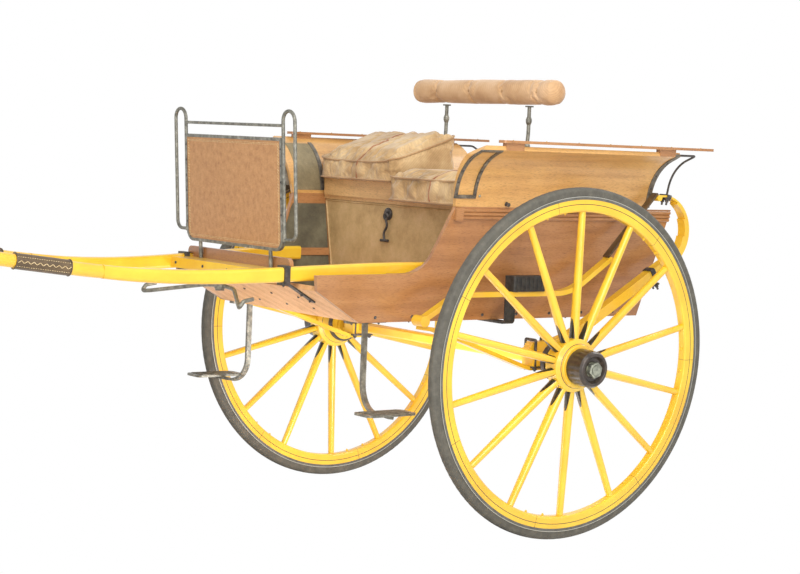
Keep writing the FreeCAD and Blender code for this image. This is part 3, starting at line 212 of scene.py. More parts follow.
def places(x, y, z):
    """Points from coordinates that may be single numbers or rows of them, one point for each pairing."""
    return np.stack(np.meshgrid(x, y, z, indexing="ij"), -1).reshape(-1, 3).astype(float)


# %% [markdown]
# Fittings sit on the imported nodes. A line shot from far outside finds the place and the way it faces. Its
# direction is one of the cart's own six; IN and OUT are meant for its left side, and the right side mirrors it.

# %% Finding a surface
FAR = 2000
FORE, BACK, IN, OUT, RISE, FALL = (1, 0, 0), (-1, 0, 0), (0, -1, 0), (0, 1, 0), (0, 0, 1), (0, 0, -1)


def landing(node, starts, ahead):
    """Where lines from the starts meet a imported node: points and outward normals in the level cart."""
    run = Vector(unit(ahead) @ CART)
    found = [frame["nodes"][node].ray_cast(Vector(start), run) for start in parked(np.atleast_2d(starts))]
    met = [hit for hit in found if hit[0]]
    if len(met) < len(found):
        print(node, "was missed by", len(found) - len(met), "of", len(found), "lines")
    return levelled([hit[1] for hit in met]), np.reshape([hit[2] for hit in met], (-1, 3)) @ CART.T


# %% [markdown]
# One function turns such a shape into a Blender object: it parks the points, merges doubles, turns the
# faces outwards, shades it smooth between sharp edges, and lets it ride on its body.

# %% Shapes become pieces
def sound_mesh(name, points, quads):
    """A mesh with doubles merged, slivers gone and faces outwards."""
    mesh = bpy.data.meshes.new(name)
    mesh.from_pydata(points.tolist(), [], quads.tolist())
    work = bmesh.new()
    work.from_mesh(mesh)
    bmesh.ops.remove_doubles(work, verts=work.verts, dist=2e-5)
    bmesh.ops.dissolve_degenerate(work, edges=work.edges, dist=1e-6)
    bmesh.ops.recalc_face_normals(work, faces=work.faces)
    work.to_mesh(mesh)
    work.free()
    return mesh


def linked(name, data):
    made = bpy.data.objects.new(name, data)
    bpy.context.scene.collection.objects.link(made)
    return made


def piece(name, shape, body, finish, sharp=38):
    """A finished object; edges sharper than sharp (degrees) stay crisp."""
    points, quads = shape
    mesh = sound_mesh(name, parked(points), quads)
    mesh.shade_smooth()
    mesh.set_sharp_from_angle(angle=math.radians(sharp))
    mesh.materials.append(finish)
    made = linked(name, mesh)
    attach(made, body)
    return made


# %% [markdown]
# A finish is a node tree. One small function adds a node, sets it and links it; colours are written as the
# eye reads them, in sRGB, and turned to the linear values that light needs. Most finishes are mottled with
# noise that a ramp turns to colours, and end in the same shader with a fine bump.

# %% Nodes and colours
def colour(code):
    """An sRGB hex colour as linear red, green, blue and alpha."""
    parts = np.array([int(code[i:i + 2], 16) / 255 for i in (1, 3, 5)])
    linear = np.where(parts <= 0.04045, parts / 12.92, ((parts + 0.055) / 1.055) ** 2.4)
    return (*linear.tolist(), 1.0)


def add(tree, kind, sockets=(), stops=(), give=0, **settings):
    """Adds a node and returns the output that give names.

    Settings go on the node. Sockets fill its inputs, in order or by name, with values or other nodes'
    outputs. Stops are a ramp's positions with their colours.
    """
    made = tree.nodes.new("ShaderNode" + kind)
    for key, value in settings.items():
        setattr(made, key, value)
    for key, value in (sockets if isinstance(sockets, dict) else dict(enumerate(sockets))).items():
        if isinstance(value, bpy.types.NodeSocket):
            tree.links.new(value, made.inputs[key])
        else:
            made.inputs[key].default_value = value
    for i, (position, code) in enumerate(stops):
        stop = made.color_ramp.elements[i] if i < 2 else made.color_ramp.elements.new(position)
        stop.position = position
        stop.color = colour(code)
    return made.outputs[give] if made.outputs else None


def blank(name):
    material = bpy.data.materials.new(name)
    material.use_nodes = True
    material.node_tree.nodes.clear()
    return material, material.node_tree


def own_space(tree, side=None):
    """Object coordinates turned back to the level cart, in metres from the axle's middle, or to a wheel's
    own frame: Y along the arm, the spokes in the XZ plane."""
    turn = {None: (0, NOSE_DOWN, 0), "left": (-CAMBER, NOSE_DOWN, 0), "right": (-CAMBER, -NOSE_DOWN, math.pi)}
    seen = add(tree, "TexCoord", give="Object")
    return add(tree, "Mapping", {"Vector": seen, "Location": HUBS.get(side, AXLE), "Rotation": turn[side]},
               vector_type="TEXTURE")


def mottled(tree, where, scale, detail, roughness, *stops):
    """Noise seen through a ramp of colours, and the noise itself."""
    noise = add(tree, "TexNoise", {"Vector": where, "Scale": scale, "Detail": detail, "Roughness": roughness})
    return add(tree, "ValToRGB", {"Fac": noise}, stops=stops), noise


def shaded(material, sockets, height=None, strength=0.0, depth=0.0, **settings):
    """The Principled shader with its output and, where a height is given, a bump of some depth (m)."""
    tree = material.node_tree
    if height is not None:
        bump = {"Height": height, "Strength": strength, "Distance": depth}
        sockets = {**sockets, "Normal": add(tree, "Bump", bump, **settings)}
    add(tree, "OutputMaterial", {"Surface": add(tree, "BsdfPrincipled", sockets)})
    return material


# %% [markdown]
# Coach paint is an oil enamel, brushed on in many coats and rubbed down, then varnished. It is nearly
# mirror-smooth but never quite even: the yellow drifts towards orange where the varnish lies thick, and
# faint brush marks show in the gloss. A clear coat over a slightly rougher base gives that depth.

# %% Coach paint
def coach_paint(name, side=None, lines=None):
    """Yellow enamel; lines is a function that adds a 0..1 mask of dark marks, painted lines and the spokes' wedges, to
    the tree.
    """
    material, tree = blank(name)
    where = own_space(tree, side)
    paint, _ = mottled(tree, where, 3.1, 5.0, 0.62, (0.30, "#DEA526"), (0.62, "#E8C032"), (0.46, "#E4B42B"))
    soiled, _ = mottled(tree, where, 17.0, 4.0, 0.5, (0.62, "#000000"), (0.86, "#4A4A4A"))
    shown = add(tree, "Mix", {0: soiled, 6: paint, 7: colour("#A5761A")}, give=2, data_type="RGBA")
    if lines:
        shown = add(tree, "Mix", {0: lines(tree, where), 6: shown, 7: colour("#2E2A1C")}, give=2, data_type="RGBA")
    brush = add(tree, "TexNoise", {"Vector": where, "Scale": 210.0, "Detail": 3.0})
    return shaded(material, {"Base Color": shown, "Roughness": 0.34, "Coat Weight": 0.55, "Coat Roughness": 0.09},
                  brush, 0.12, 0.0006)


# %% [markdown]
# A wheel is lined by hand: a fine dark line round the felloes and one round the nave's face. Each spoke's flanks
# are also drawn black in a wedge that tapers away from the nave. All three follow from the distance to the
# wheel's axis and the angle round it, so the paint itself can draw them.

# %% Painted lines and dark spoke wedges of the wheels
SPOKES, FELLOES = 14, 7
NAVE, NAVE_RING, WEDGE_LENGTH = 0.105, 0.0885, 0.085
LINE, FINE_LINE = 0.0013, 0.0009
rim_radii = np.hypot(*cart_points("rim_left")[:, [0, 2]].T)
RIM_INNER, RIM_OUTER = float(rim_radii.min()) * MM, float(rim_radii.max()) * MM


def radius_of(tree, where):
    """Distance from the wheel's axis, and the separated coordinates."""
    axes = add(tree, "SeparateXYZ", [where]).node.outputs
    square = add(tree, "Math", (axes["X"], axes["X"]), operation="MULTIPLY")
    both = add(tree, "Math", (axes["Z"], axes["Z"], square), operation="MULTIPLY_ADD")
    return add(tree, "Math", [both], operation="SQRT"), axes


def near(tree, value, target, half_width):
    """1 where value is within half_width of target."""
    return add(tree, "Math", (value, target, half_width), operation="COMPARE")


def swing_from(tree, axes, count, share):
    """Angle round the wheel from the nearest of count even directions, the first a share of a step past
    the top."""
    angle = add(tree, "Math", (axes["X"], axes["Z"]), operation="ARCTAN2")
    turns = add(tree, "Math", (angle, count / (2 * math.pi), 0.5 - share), operation="MULTIPLY_ADD")
    part = add(tree, "Math", (turns, 1.0), operation="FLOORED_MODULO")
    off = add(tree, "Math", (part, 0.5), operation="SUBTRACT")
    return add(tree, "Math", (off, 2 * math.pi / count), operation="MULTIPLY")


def rim_line(tree, where):
    """A painted line round the felloes, and the fine joints between them."""
    radius, axes = radius_of(tree, where)
    line = near(tree, radius, RIM_INNER + 0.62 * (RIM_OUTER - RIM_INNER), LINE)
    joint = near(tree, swing_from(tree, axes, FELLOES, 0.25), 0.0, LINE)
    return add(tree, "Math", (line, joint), operation="MAXIMUM")


def spoke_wedges(tree, where):
    """Dark where the distance from the spoke's middle passes a limit that grows outwards from the nave."""
    radius, axes = radius_of(tree, where)
    sine = add(tree, "Math", [swing_from(tree, axes, SPOKES, 0.0)], operation="SINE")
    aside = add(tree, "Math", (sine, radius), operation="MULTIPLY")
    apart = add(tree, "Math", [aside], operation="ABSOLUTE")
    limit = add(tree, "MapRange", {"Value": radius, "From Min": NAVE + 0.004, "From Max": NAVE + WEDGE_LENGTH,
                                   "To Min": 0.0105, "To Max": 0.0165})
    beyond = add(tree, "Math", (apart, limit), operation="GREATER_THAN")
    outside = add(tree, "Math", (radius, NAVE + 0.002), operation="GREATER_THAN")
    inside = add(tree, "Math", (radius, NAVE + WEDGE_LENGTH), operation="LESS_THAN")
    zone = add(tree, "Math", (outside, inside), operation="MULTIPLY")
    wedge = add(tree, "Math", (beyond, zone), operation="MULTIPLY")
    return add(tree, "Math", (wedge, near(tree, radius, NAVE_RING, FINE_LINE)), operation="MAXIMUM")


print("felloe from", round(RIM_INNER, 4), "to", round(RIM_OUTER, 4))

# %% [markdown]
# A solid rubber tyre is gripped in a rolled steel channel. Old rubber is dull and chalky with dust in its
# pores; along the channel's lip runs a thin pale band, partly rubbed steel and partly a painted highlight.
# The radius tells rubber from steel.

# %% Tyre
CHANNEL_HEIGHT, LIP_HIGHLIGHT = 0.012, 0.0012


def tyre_finish(side):
    material, tree = blank("moulded grey rubber in a steel channel, " + side)
    where = own_space(tree, side)
    radius, _ = radius_of(tree, where)
    lip = RIM_OUTER + CHANNEL_HEIGHT
    rubber, dust = mottled(tree, where, 34.0, 8.0, 0.7, (0.32, "#4A4740"), (0.68, "#625E54"), (0.5, "#55524A"))
    steel = add(tree, "ValToRGB", {"Fac": dust}, stops=[(0.3, "#43423D"), (0.7, "#6B6962")])
    is_steel = add(tree, "Math", (radius, lip), operation="LESS_THAN")
    # painted highlight: a thin near-white band along the channel's lip, partly rubbed steel
    edge = near(tree, radius, lip - LIP_HIGHLIGHT, LIP_HIGHLIGHT)
    both = add(tree, "Mix", {0: is_steel, 6: rubber, 7: steel}, give=2, data_type="RGBA")
    worn = add(tree, "Mix", {0: edge, 6: both, 7: colour("#B7B5AB")}, give=2, data_type="RGBA")
    metallic = add(tree, "Math", (edge, 0.7), operation="MULTIPLY")
    rough = add(tree, "MapRange", {"Value": is_steel, "To Min": 0.78, "To Max": 0.42})
    grit = add(tree, "TexNoise", {"Vector": where, "Scale": 420.0, "Detail": 4.0})
    return shaded(material, {"Base Color": worn, "Metallic": metallic, "Roughness": rough}, grit, 0.35, 0.0008)


# %% [markdown]
# The body's boards are close-grained hardwood, sawn along the grain, stained warm and varnished. Growth
# rings make long streaks and narrow flames along the board, pores make short dark dashes, and old
# varnish mottles the colour in hand-sized clouds. Stretching the pattern along one axis makes grain of it.

# %% Varnished wood
def varnished_wood(name, grain="X", light="#B58454", mid="#A67345", dark="#8E5E37", gloss=0.34, coat=0.4):
    material, tree = blank(name)
    where = own_space(tree)
    lengthwise = {"X": (0.09, 1, 1), "Y": (1, 0.09, 1)}[grain]
    stretched = add(tree, "Mapping", {"Vector": where, "Scale": lengthwise})
    clouds = add(tree, "TexNoise", {"Vector": where, "Scale": 5.2, "Detail": 5.0, "Roughness": 0.62})
    streaks = add(tree, "TexNoise", {"Vector": stretched, "Scale": 62.0, "Detail": 6.0, "Roughness": 0.6,
                                     "Distortion": 0.4})
    flames = add(tree, "TexWave", {"Vector": stretched, "Scale": 7.0, "Distortion": 7.0, "Detail": 3.0,
                                   "Detail Scale": 1.2, "Detail Roughness": 0.55}, give=1, bands_direction="DIAGONAL")
    blend = add(tree, "Mix", {0: 0.22, 2: streaks, 3: flames}, data_type="FLOAT")
    figure = add(tree, "Mix", {0: 0.5, 2: blend, 3: clouds}, data_type="FLOAT")
    wood = add(tree, "ValToRGB", {"Fac": figure}, stops=[(0.28, dark), (0.74, light), (0.5, mid)])
    pits, pores = mottled(tree, stretched, 640.0, 2.0, 0.5, (0.32, "#D2D2D2"), (0.46, "#FFFFFF"))
    shown = add(tree, "Mix", {0: 1.0, 6: wood, 7: pits}, give=2, data_type="RGBA", blend_type="MULTIPLY")
    rough = add(tree, "MapRange", {"Value": clouds, "To Min": gloss - 0.08, "To Max": gloss + 0.16})
    return shaded(material, {"Base Color": shown, "Roughness": rough, "Coat Weight": coat, "Coat Roughness": 0.18},
                  pores, 0.12, 0.0004)


# %% [markdown]
# Wrought iron, forged and blacked: dark brown-grey, a little lumpy from the hammer, with paler rubbed
# patches and a breath of rust. It is half metal, half old paint, so it gets some of both.

# %% Forged iron
def forged_iron(name, dark="#3B3938", mid="#524E4B", pale="#7A7672", rust="#6B4A36", rough=0.5):
    material, tree = blank(name)
    where = add(tree, "TexCoord", give="Object")
    skin, _ = mottled(tree, where, 46.0, 7.0, 0.66, (0.38, dark), (0.72, pale), (0.55, mid))
    rusty, _ = mottled(tree, where, 19.0, 9.0, 0.75, (0.56, "#000000"), (0.76, "#9A9A9A"))
    shown = add(tree, "Mix", {0: rusty, 6: skin, 7: colour(rust)}, give=2, data_type="RGBA")
    hammer = add(tree, "TexNoise", {"Vector": where, "Scale": 120.0, "Detail": 2.0})
    return shaded(material, {"Base Color": shown, "Metallic": 0.45, "Roughness": rough}, hammer, 0.4, 0.0012)


# %% [markdown]
# The cushions are covered with a drab livery cloth, a heavy wool twill. Its diagonal rib is about a
# millimetre; here it is drawn at twice that, so that it still shows. Wool has a soft sheen at grazing
# angles and fades in patches where people sit.

# %% Livery cloth
TWILL = 0.002


def livery_cloth(name, light="#D3B689", mid="#B8976B", dark="#907248"):
    material, tree = blank(name)
    where = own_space(tree)
    cloth, _ = mottled(tree, where, 6.5, 6.0, 0.62, (0.30, dark), (0.66, light), (0.48, mid))
    rib = add(tree, "TexWave", {"Vector": where, "Scale": 0.31 / TWILL / math.pi, "Distortion": 1.2, "Detail": 2.0,
                                "Detail Scale": 3.0}, give=1, bands_direction="DIAGONAL")
    nap = add(tree, "TexNoise", {"Vector": where, "Scale": 640.0, "Detail": 3.0})
    weave = add(tree, "Mix", {0: 0.45, 2: rib, 3: nap}, data_type="FLOAT")
    tint = add(tree, "MapRange", {"Value": weave, "To Min": 0.86, "To Max": 1.06})
    shown = add(tree, "VectorMath", {0: cloth, "Scale": tint}, operation="SCALE")
    return shaded(material, {"Base Color": shown, "Roughness": 0.92, "Sheen Weight": 0.3, "Sheen Roughness": 0.45},
                  weave, 0.5, 0.0007)


# %% [markdown]
# Leather shows a pebbled grain of rounded cells two or three millimetres across, darker in the furrows.
# Harness leather is waxed dark brown; the dash is a thinner hide, dyed russet and mottled; the seat box is
# covered with a painted leather cloth whose grain is finer and flatter.

# %% Leathers
def grained_leather(name, light, mid, dark, grain_mm=1.8, mottle=8.0, rough=0.62, depth=0.35, coat=0.0):
    material, tree = blank(name)
    where = own_space(tree)
    hide, _ = mottled(tree, where, mottle, 9.0, 0.72, (0.32, dark), (0.68, light), (0.5, mid))
    cells = add(tree, "TexVoronoi", {"Vector": where, "Scale": 1 / (grain_mm * MM), "Smoothness": 0.6},
                give="Distance", feature="SMOOTH_F1")
    furrow = add(tree, "MapRange", {"Value": cells, "From Min": 0.1, "From Max": 0.8, "To Min": 1.06, "To Max": 0.8})
    shown = add(tree, "VectorMath", {0: hide, "Scale": furrow}, operation="SCALE")
    return shaded(material, {"Base Color": shown, "Roughness": rough, "Coat Weight": coat, "Coat Roughness": 0.3},
                  cells, depth, 0.0007, invert=True)


# %% [markdown]
# Small finishes: cast brass gone dull, worn nickel plate, waxed linen thread and rubber. Each varies a
# little in tone and roughness, as handled things do.

# %% Small finishes
def plain_finish(name, light, dark, scale, rough, metallic=0.0):
    material, tree = blank(name)
    shown, tone = mottled(tree, add(tree, "TexCoord", give="Object"), scale, 6.0, 0.65, (0.34, dark), (0.66, light))
    polish = add(tree, "MapRange", {"Value": tone, "To Min": rough + 0.12, "To Max": rough - 0.08})
    return shaded(material, {"Base Color": shown, "Metallic": metallic, "Roughness": polish, "Coat Roughness": 0.12},
                  tone, 0.15, 0.0006)


IRON = forged_iron("forged and blacked iron")
STRAP_IRON = forged_iron("forged strap iron", "#57524A", "#716A5E", "#938B7D", "#74604C")
RUBBED_IRON = forged_iron("forged iron rubbed pale", "#5E5C54", "#7C7A70", "#A09D92", "#6F5E4C", 0.42)
PAINT = coach_paint("brushed yellow coach enamel")
BOARD = varnished_wood("varnished ash boards, grain lengthwise")
# painted light: the wings are a paler copy of the sides' varnished ash, standing for the stronger light on them
LIT_WING_BOARD = varnished_wood("pale varnished ash wings, grain lengthwise", "X", "#DCAD6B", "#CE9D5B", "#B58447")
BOARD_ACROSS = varnished_wood("varnished ash boards, grain across", "Y")
SEAT_WOOD = varnished_wood("scumbled seat boards, grain across", "Y", "#E4BC80", "#D4AA70", "#BA905A", 0.5, 0.15)
FLOOR_WOOD = varnished_wood("oiled deal floor boards", "X", "#E3B88A", "#D2A070", "#A87848", 0.5, 0.12)
CLOTH = livery_cloth("drab wool livery cloth")
ROLL_CLOTH = livery_cloth("faded wool livery cloth", "#D4B08A", "#C59E74", "#AC8258")
PIPING = livery_cloth("rolled piping of livery cloth", "#BE9A6E", "#A98459", "#8C6942")
BRAID = livery_cloth("russet braid", "#AF7C56", "#976544", "#784B30")
TRIM = grained_leather("painted leather cloth", "#DCBE90", "#CCAD7A", "#B09160", 1.6, 7.0, 0.6)
DASH_HIDE = grained_leather("russet dash leather", "#C4925F", "#B78552", "#A47142", 3.0, 42.0, 0.5, 0.5)
HARNESS = grained_leather("waxed harness leather", "#6B5638", "#554229", "#3C2E1C", 2.0, 16.0, 0.42, coat=0.15)
# painted shade: these two leather cloths are darker partly to stand for the shade in the footwell and inside the
# wings' front
DARK_SHADE_LINING = grained_leather("dark olive leather cloth", "#757059", "#5F5A47", "#484437")
DRAB_SHADE_LINING = grained_leather("drab leather cloth", "#9C8C6C", "#877959", "#6C6148")
BRASS = plain_finish("dull cast brass", "#C9A24B", "#8F6A2A", 40.0, 0.36, 0.9)
NICKEL = plain_finish("worn nickel plate", "#B9BBA8", "#83857A", 60.0, 0.3, 0.85)
THREAD = plain_finish("waxed linen thread", "#E2CDA2", "#B99C6C", 90.0, 0.7)
BLOCK = plain_finish("black rubber buffer", "#34322F", "#1C1B1A", 50.0, 0.6)
print("finishes", len(bpy.data.materials))

# %% [markdown]
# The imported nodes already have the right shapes, so each only needs its finish. Setting the material on the
# object's slots leaves its mesh untouched. The wheels' patterns turn with the wheels, because they are laid
# out in each wheel's own frame.

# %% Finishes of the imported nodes
OIL_CAP_RADIUS = 0.0305


def hub_finish(side):
    """Black stoved cap with a worn nickel oil cap, told apart by the distance from the wheel's axis."""
    material, tree = blank("stoved black hub cap, " + side)
    where = own_space(tree, side)
    radius, _ = radius_of(tree, where)
    black, tone = mottled(tree, where, 42.0, 6.0, 0.65, (0.32, "#1E1814"), (0.7, "#43352B"))
    plate = add(tree, "ValToRGB", {"Fac": tone}, stops=[(0.3, "#7F8170"), (0.7, "#B9BAA2")])
    small = add(tree, "Math", (radius, OIL_CAP_RADIUS), operation="LESS_THAN")
    shown = add(tree, "Mix", {0: small, 6: black, 7: plate}, give=2, data_type="RGBA")
    metallic = add(tree, "Math", (small, 0.6), operation="MULTIPLY")
    return shaded(material, {"Base Color": shown, "Metallic": metallic, "Roughness": 0.34, "Coat Weight": 0.3,
                             "Coat Roughness": 0.15})


FINISHES = {
    "axle c_springs radius_arms body_loops cross_bar shaft_left shaft_right": PAINT,
    "rear_hoops tail_hinges shaft_irons shaft_tips seat_handle nave_band_left nave_band_right": IRON,
    "dash_frame backrest_irons swingletree swingletree_pin step_left step_right": RUBBED_IRON,
    "wing_irons": STRAP_IRON,
    "side_panel_left side_panel_right mouldings top_rails": BOARD,
    "wing_left wing_right": LIT_WING_BOARD,
    "front_board tailboard": BOARD_ACROSS,
    "seat_deck": SEAT_WOOD,
    "floor toe_board": FLOOR_WOOD,
    "seat_front": TRIM,
    "dash_panel": DASH_HIDE,
    "braces shaft_leathers": HARNESS,
    "loop_brackets": BLOCK,
}
for side in HUBS:
    FINISHES["tyre_" + side] = tyre_finish(side)
    FINISHES["rim_" + side] = coach_paint("yellow coach enamel on felloes, " + side, side, rim_line)
    FINISHES["spokes_" + side] = coach_paint("yellow coach enamel on spokes, " + side, side, spoke_wedges)
    FINISHES["hub_cap_" + side] = hub_finish(side)
for names, finish in FINISHES.items():
    for node in names.split():
        for place in frame["nodes"][node].material_slots:
            place.link = "OBJECT"
            place.material = finish
print("nodes that wait for a soft piece:", sorted(set(frame["nodes"]) - set(" ".join(FINISHES).split())))

# %% [markdown]
# A stuffed cushion starts as a plain sewn case: a base, an upright strip called the boxing, and a crowned
# top. It is laid out as rings, from the middle of the base, out to its edge, up the boxing and back in over
# the top. The outline is a superellipse: a circle's cosine and sine raised to a small power.

# %% The sewn case of a cushion
CORNER = 0.17


def superellipse(count):
    """The signs of a circle's cosine and sine, times their sizes to a small power."""
    edge = circle(1, count)
    return np.sign(edge) * np.abs(edge) ** CORNER


def dip(points, sag):
    """Depth of a bell-shaped dent, sag = (x, y, depth, width)."""
    return sag[2] * np.exp(-(((points[..., :2] - sag[:2]) / sag[3]) ** 2).sum(-1))


def case(low, high, crown, rise, sag, rings=26, around=220):
    """Rings of a cushion between two corners (mm).

    Each ring is the outline scaled by s, at a height: the base at the low level, the boxing straight up,
    the top at seam height + crown * (1 - s^4), less the dent. A wedge's boxing grows evenly towards the
    back, by rise. Returns the rings and the seam height at the front.
    """
    middle, half = (low + high) / 2, (high - low) / 2
    seam = high[2] - crown
    share = spread(0, 1, rings) ** 0.8
    scale = np.concatenate([share, np.ones(10), share[::-1]])
    tall = np.concatenate([np.full(rings, low[2]), spread(low[2], seam, 12)[1:-1],
                           seam + crown * (1 - share[::-1] ** 4)])
    flat = middle[:2] + scale[:, None, None] * superellipse(around)[None] * half[:2]
    lifted = np.clip((tall[:, None] - low[2]) / (seam - low[2]), 0, 1)
    level = tall[:, None] - dip(flat, sag) * lifted ** 2 + rise * lifted * (high[0] - flat[..., 0]) / (high - low)[0]
    return np.concatenate([flat, level[..., None]], -1), seam


# %% [markdown]
# Stuffing is simulated. The case is remeshed with even voxels, Blender's cloth blows it up from the inside
# for twenty frames while the seams hold, and the cloth is a little larger than its case, so that folds
# run in from the corners as in a real cushion. A cap on how far a point may move keeps every run alike.

# %% Stuffing by cloth simulation
STUFF_FRAMES = 20
VOXEL = 0.006
STUFFING = {"quality": 6, "mass": 0.25, "tension_stiffness": 22, "compression_stiffness": 22,
            "bending_stiffness": 0.35, "use_pressure": True, "uniform_pressure_force": 4.0,
            "vertex_group_mass": "hold"}


def settle(made):
    """Applies an object's modifiers and returns its new mesh."""
    shown = made.evaluated_get(bpy.context.evaluated_depsgraph_get())
    mesh = bpy.data.meshes.new_from_object(shown)
    made.modifiers.clear()
    made.data = mesh
    return mesh


def stuffed(case_shape, hold, grow, cap, floor_level=-FAR):
    """Simulates a case and returns its points (mm in the level cart), quads, and the case's own points.

    hold(points) gives 0..1, how firmly each point keeps its place; grow is the share the cloth is larger;
    cap is the farthest that a point may move.
    """
    points, quads = case_shape
    pad = linked("case", sound_mesh("case", points * MM, quads))
    even = pad.modifiers.new("even", "REMESH")
    even.mode, even.voxel_size = "VOXEL", VOXEL
    settled = settle(pad)
    before = after = mesh_points(settled)
    group = pad.vertex_groups.new(name="hold")
    firm = np.round(hold(before / MM) * 10)
    for step in range(1, 11):
        chosen = np.nonzero(firm == step)[0].tolist()
        if chosen:
            group.add(chosen, step / 10, "REPLACE")
    cloth = pad.modifiers.new("stuffing", "CLOTH")
    for key, value in {**STUFFING, "shrink_min": -grow}.items():
        setattr(cloth.settings, key, value)
    cloth.settings.effector_weights.gravity = 0
    cloth.collision_settings.use_collision = False
    cloth.point_cache.frame_end = STUFF_FRAMES
    for now in range(1, STUFF_FRAMES + 1):
        bpy.context.scene.frame_set(now)
    settled = settle(pad)
    after = mesh_points(settled)
    bpy.context.scene.frame_set(1)
    corners = np.empty(len(settled.loops), int)
    settled.loops.foreach_get("vertex_index", corners)
    bpy.data.objects.remove(pad)
    move = after - before
    length = np.linalg.norm(move, axis=1, keepdims=True)
    after = (before + move * np.minimum(1, cap * MM / np.maximum(length, 1e-9))) / MM
    after[:, 2] = np.maximum(after[:, 2], floor_level)
    return after, corners.reshape(-1, 4), before / MM


def soft_piece(name, points, faces, node, finish):
    """A stuffed piece, once more subdivided, in the place of its node."""
    made = piece(name, (points, faces), "cart", finish, sharp=180)
    finer = made.modifiers.new("finer", "SUBSURF")
    finer.levels = finer.render_levels = 1
    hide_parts(node)


def carried_along(path, before, after, near_by=12):
    """A seam path moved with the cloth: each point takes the mean move of its nearest cloth points."""
    moved = np.empty_like(path)
    for block in np.array_split(np.arange(len(path)), max(1, len(path) // 60)):
        gaps = np.linalg.norm(path[block][:, None] - before[None], axis=2)
        nearest = np.argpartition(gaps, near_by, axis=1)[:, :near_by]
        moved[block] = path[block] + (after[nearest] - before[nearest]).mean(1)
    return moved


def relaxed(path, rounds=3):
    """A closed path with each point drawn halfway to the mean of its neighbours."""
    for _ in range(rounds):
        path = path / 2 + (np.roll(path, 1, 0) + np.roll(path, -1, 0)) / 4
    return path


# %% [markdown]
# The driver's cushion is old and slack: it dips where the driver sits, its front edge hangs, and its
# corners stand up like ears. The passenger's is fuller, and the rear one is a plain long pad. Each has
# piping round its top and its base, and the front two a russet braid over the middle. What the cloth is too
# coarse to show is drawn on afterwards: ripples at the corners, and long creases.

# %% Cushions
WELT, BRAID_RADIUS, SEAM_POINTS = 4.2, 4.0, 260
CLOTH_REACH = 24
FOLDS = np.random.default_rng(7)


def folds(points, corners, reach, depth, waves):
    """Drawn folds: ripples round each corner, cos(waves * angle), which fade with the distance from it."""
    lift = np.zeros(len(points))
    for corner in corners:
        away = points[:, :2] - corner
        gap = np.linalg.norm(away, axis=1)
        phase = FOLDS.uniform(0, 6.28)
        ripple = np.cos(waves * np.arctan2(away[:, 1], away[:, 0]) + phase + 0.9 * np.sin(gap / 38 + phase))
        lift += depth * ripple * np.exp(-((gap - 0.42 * reach) / (0.42 * reach)) ** 2)
    return lift


def creases(points, runs, depth, width):
    """Drawn folds along curved runs (x, y to x, y): a ridge with a furrow beside it, dying out at the ends."""
    lift = np.zeros(len(points))
    for x0, y0, x1, y1 in runs:
        ahead = np.array([x1 - x0, y1 - y0])
        length = np.linalg.norm(ahead)
        off = points[:, :2] - [x0, y0]
        share = off @ ahead / length ** 2
        aside = off @ [-ahead[1], ahead[0]] / length + 13 * np.sin(4.4 * share + FOLDS.uniform(0, 6.28))
        fade = np.sin(np.pi * np.clip(share, 0, 1)) ** 0.6
        lift += depth * fade * (np.exp(-(aside / width) ** 2) - 0.75 * np.exp(-((aside - 1.7 * width) / width) ** 2))
    return lift


def top_plane(node, low, high):
    """Height of a packed cushion's top at its front, and how much higher it is at its back."""
    depth, middle = high[0] - low[0], (low[1] + high[1]) / 2
    (front, back), _ = landing(node, places([high[0] - depth / 4, high[0] - 3 * depth / 4], middle, FAR), FALL)
    rise = 2 * (back[2] - front[2])
    return front[2] - rise / 4, rise


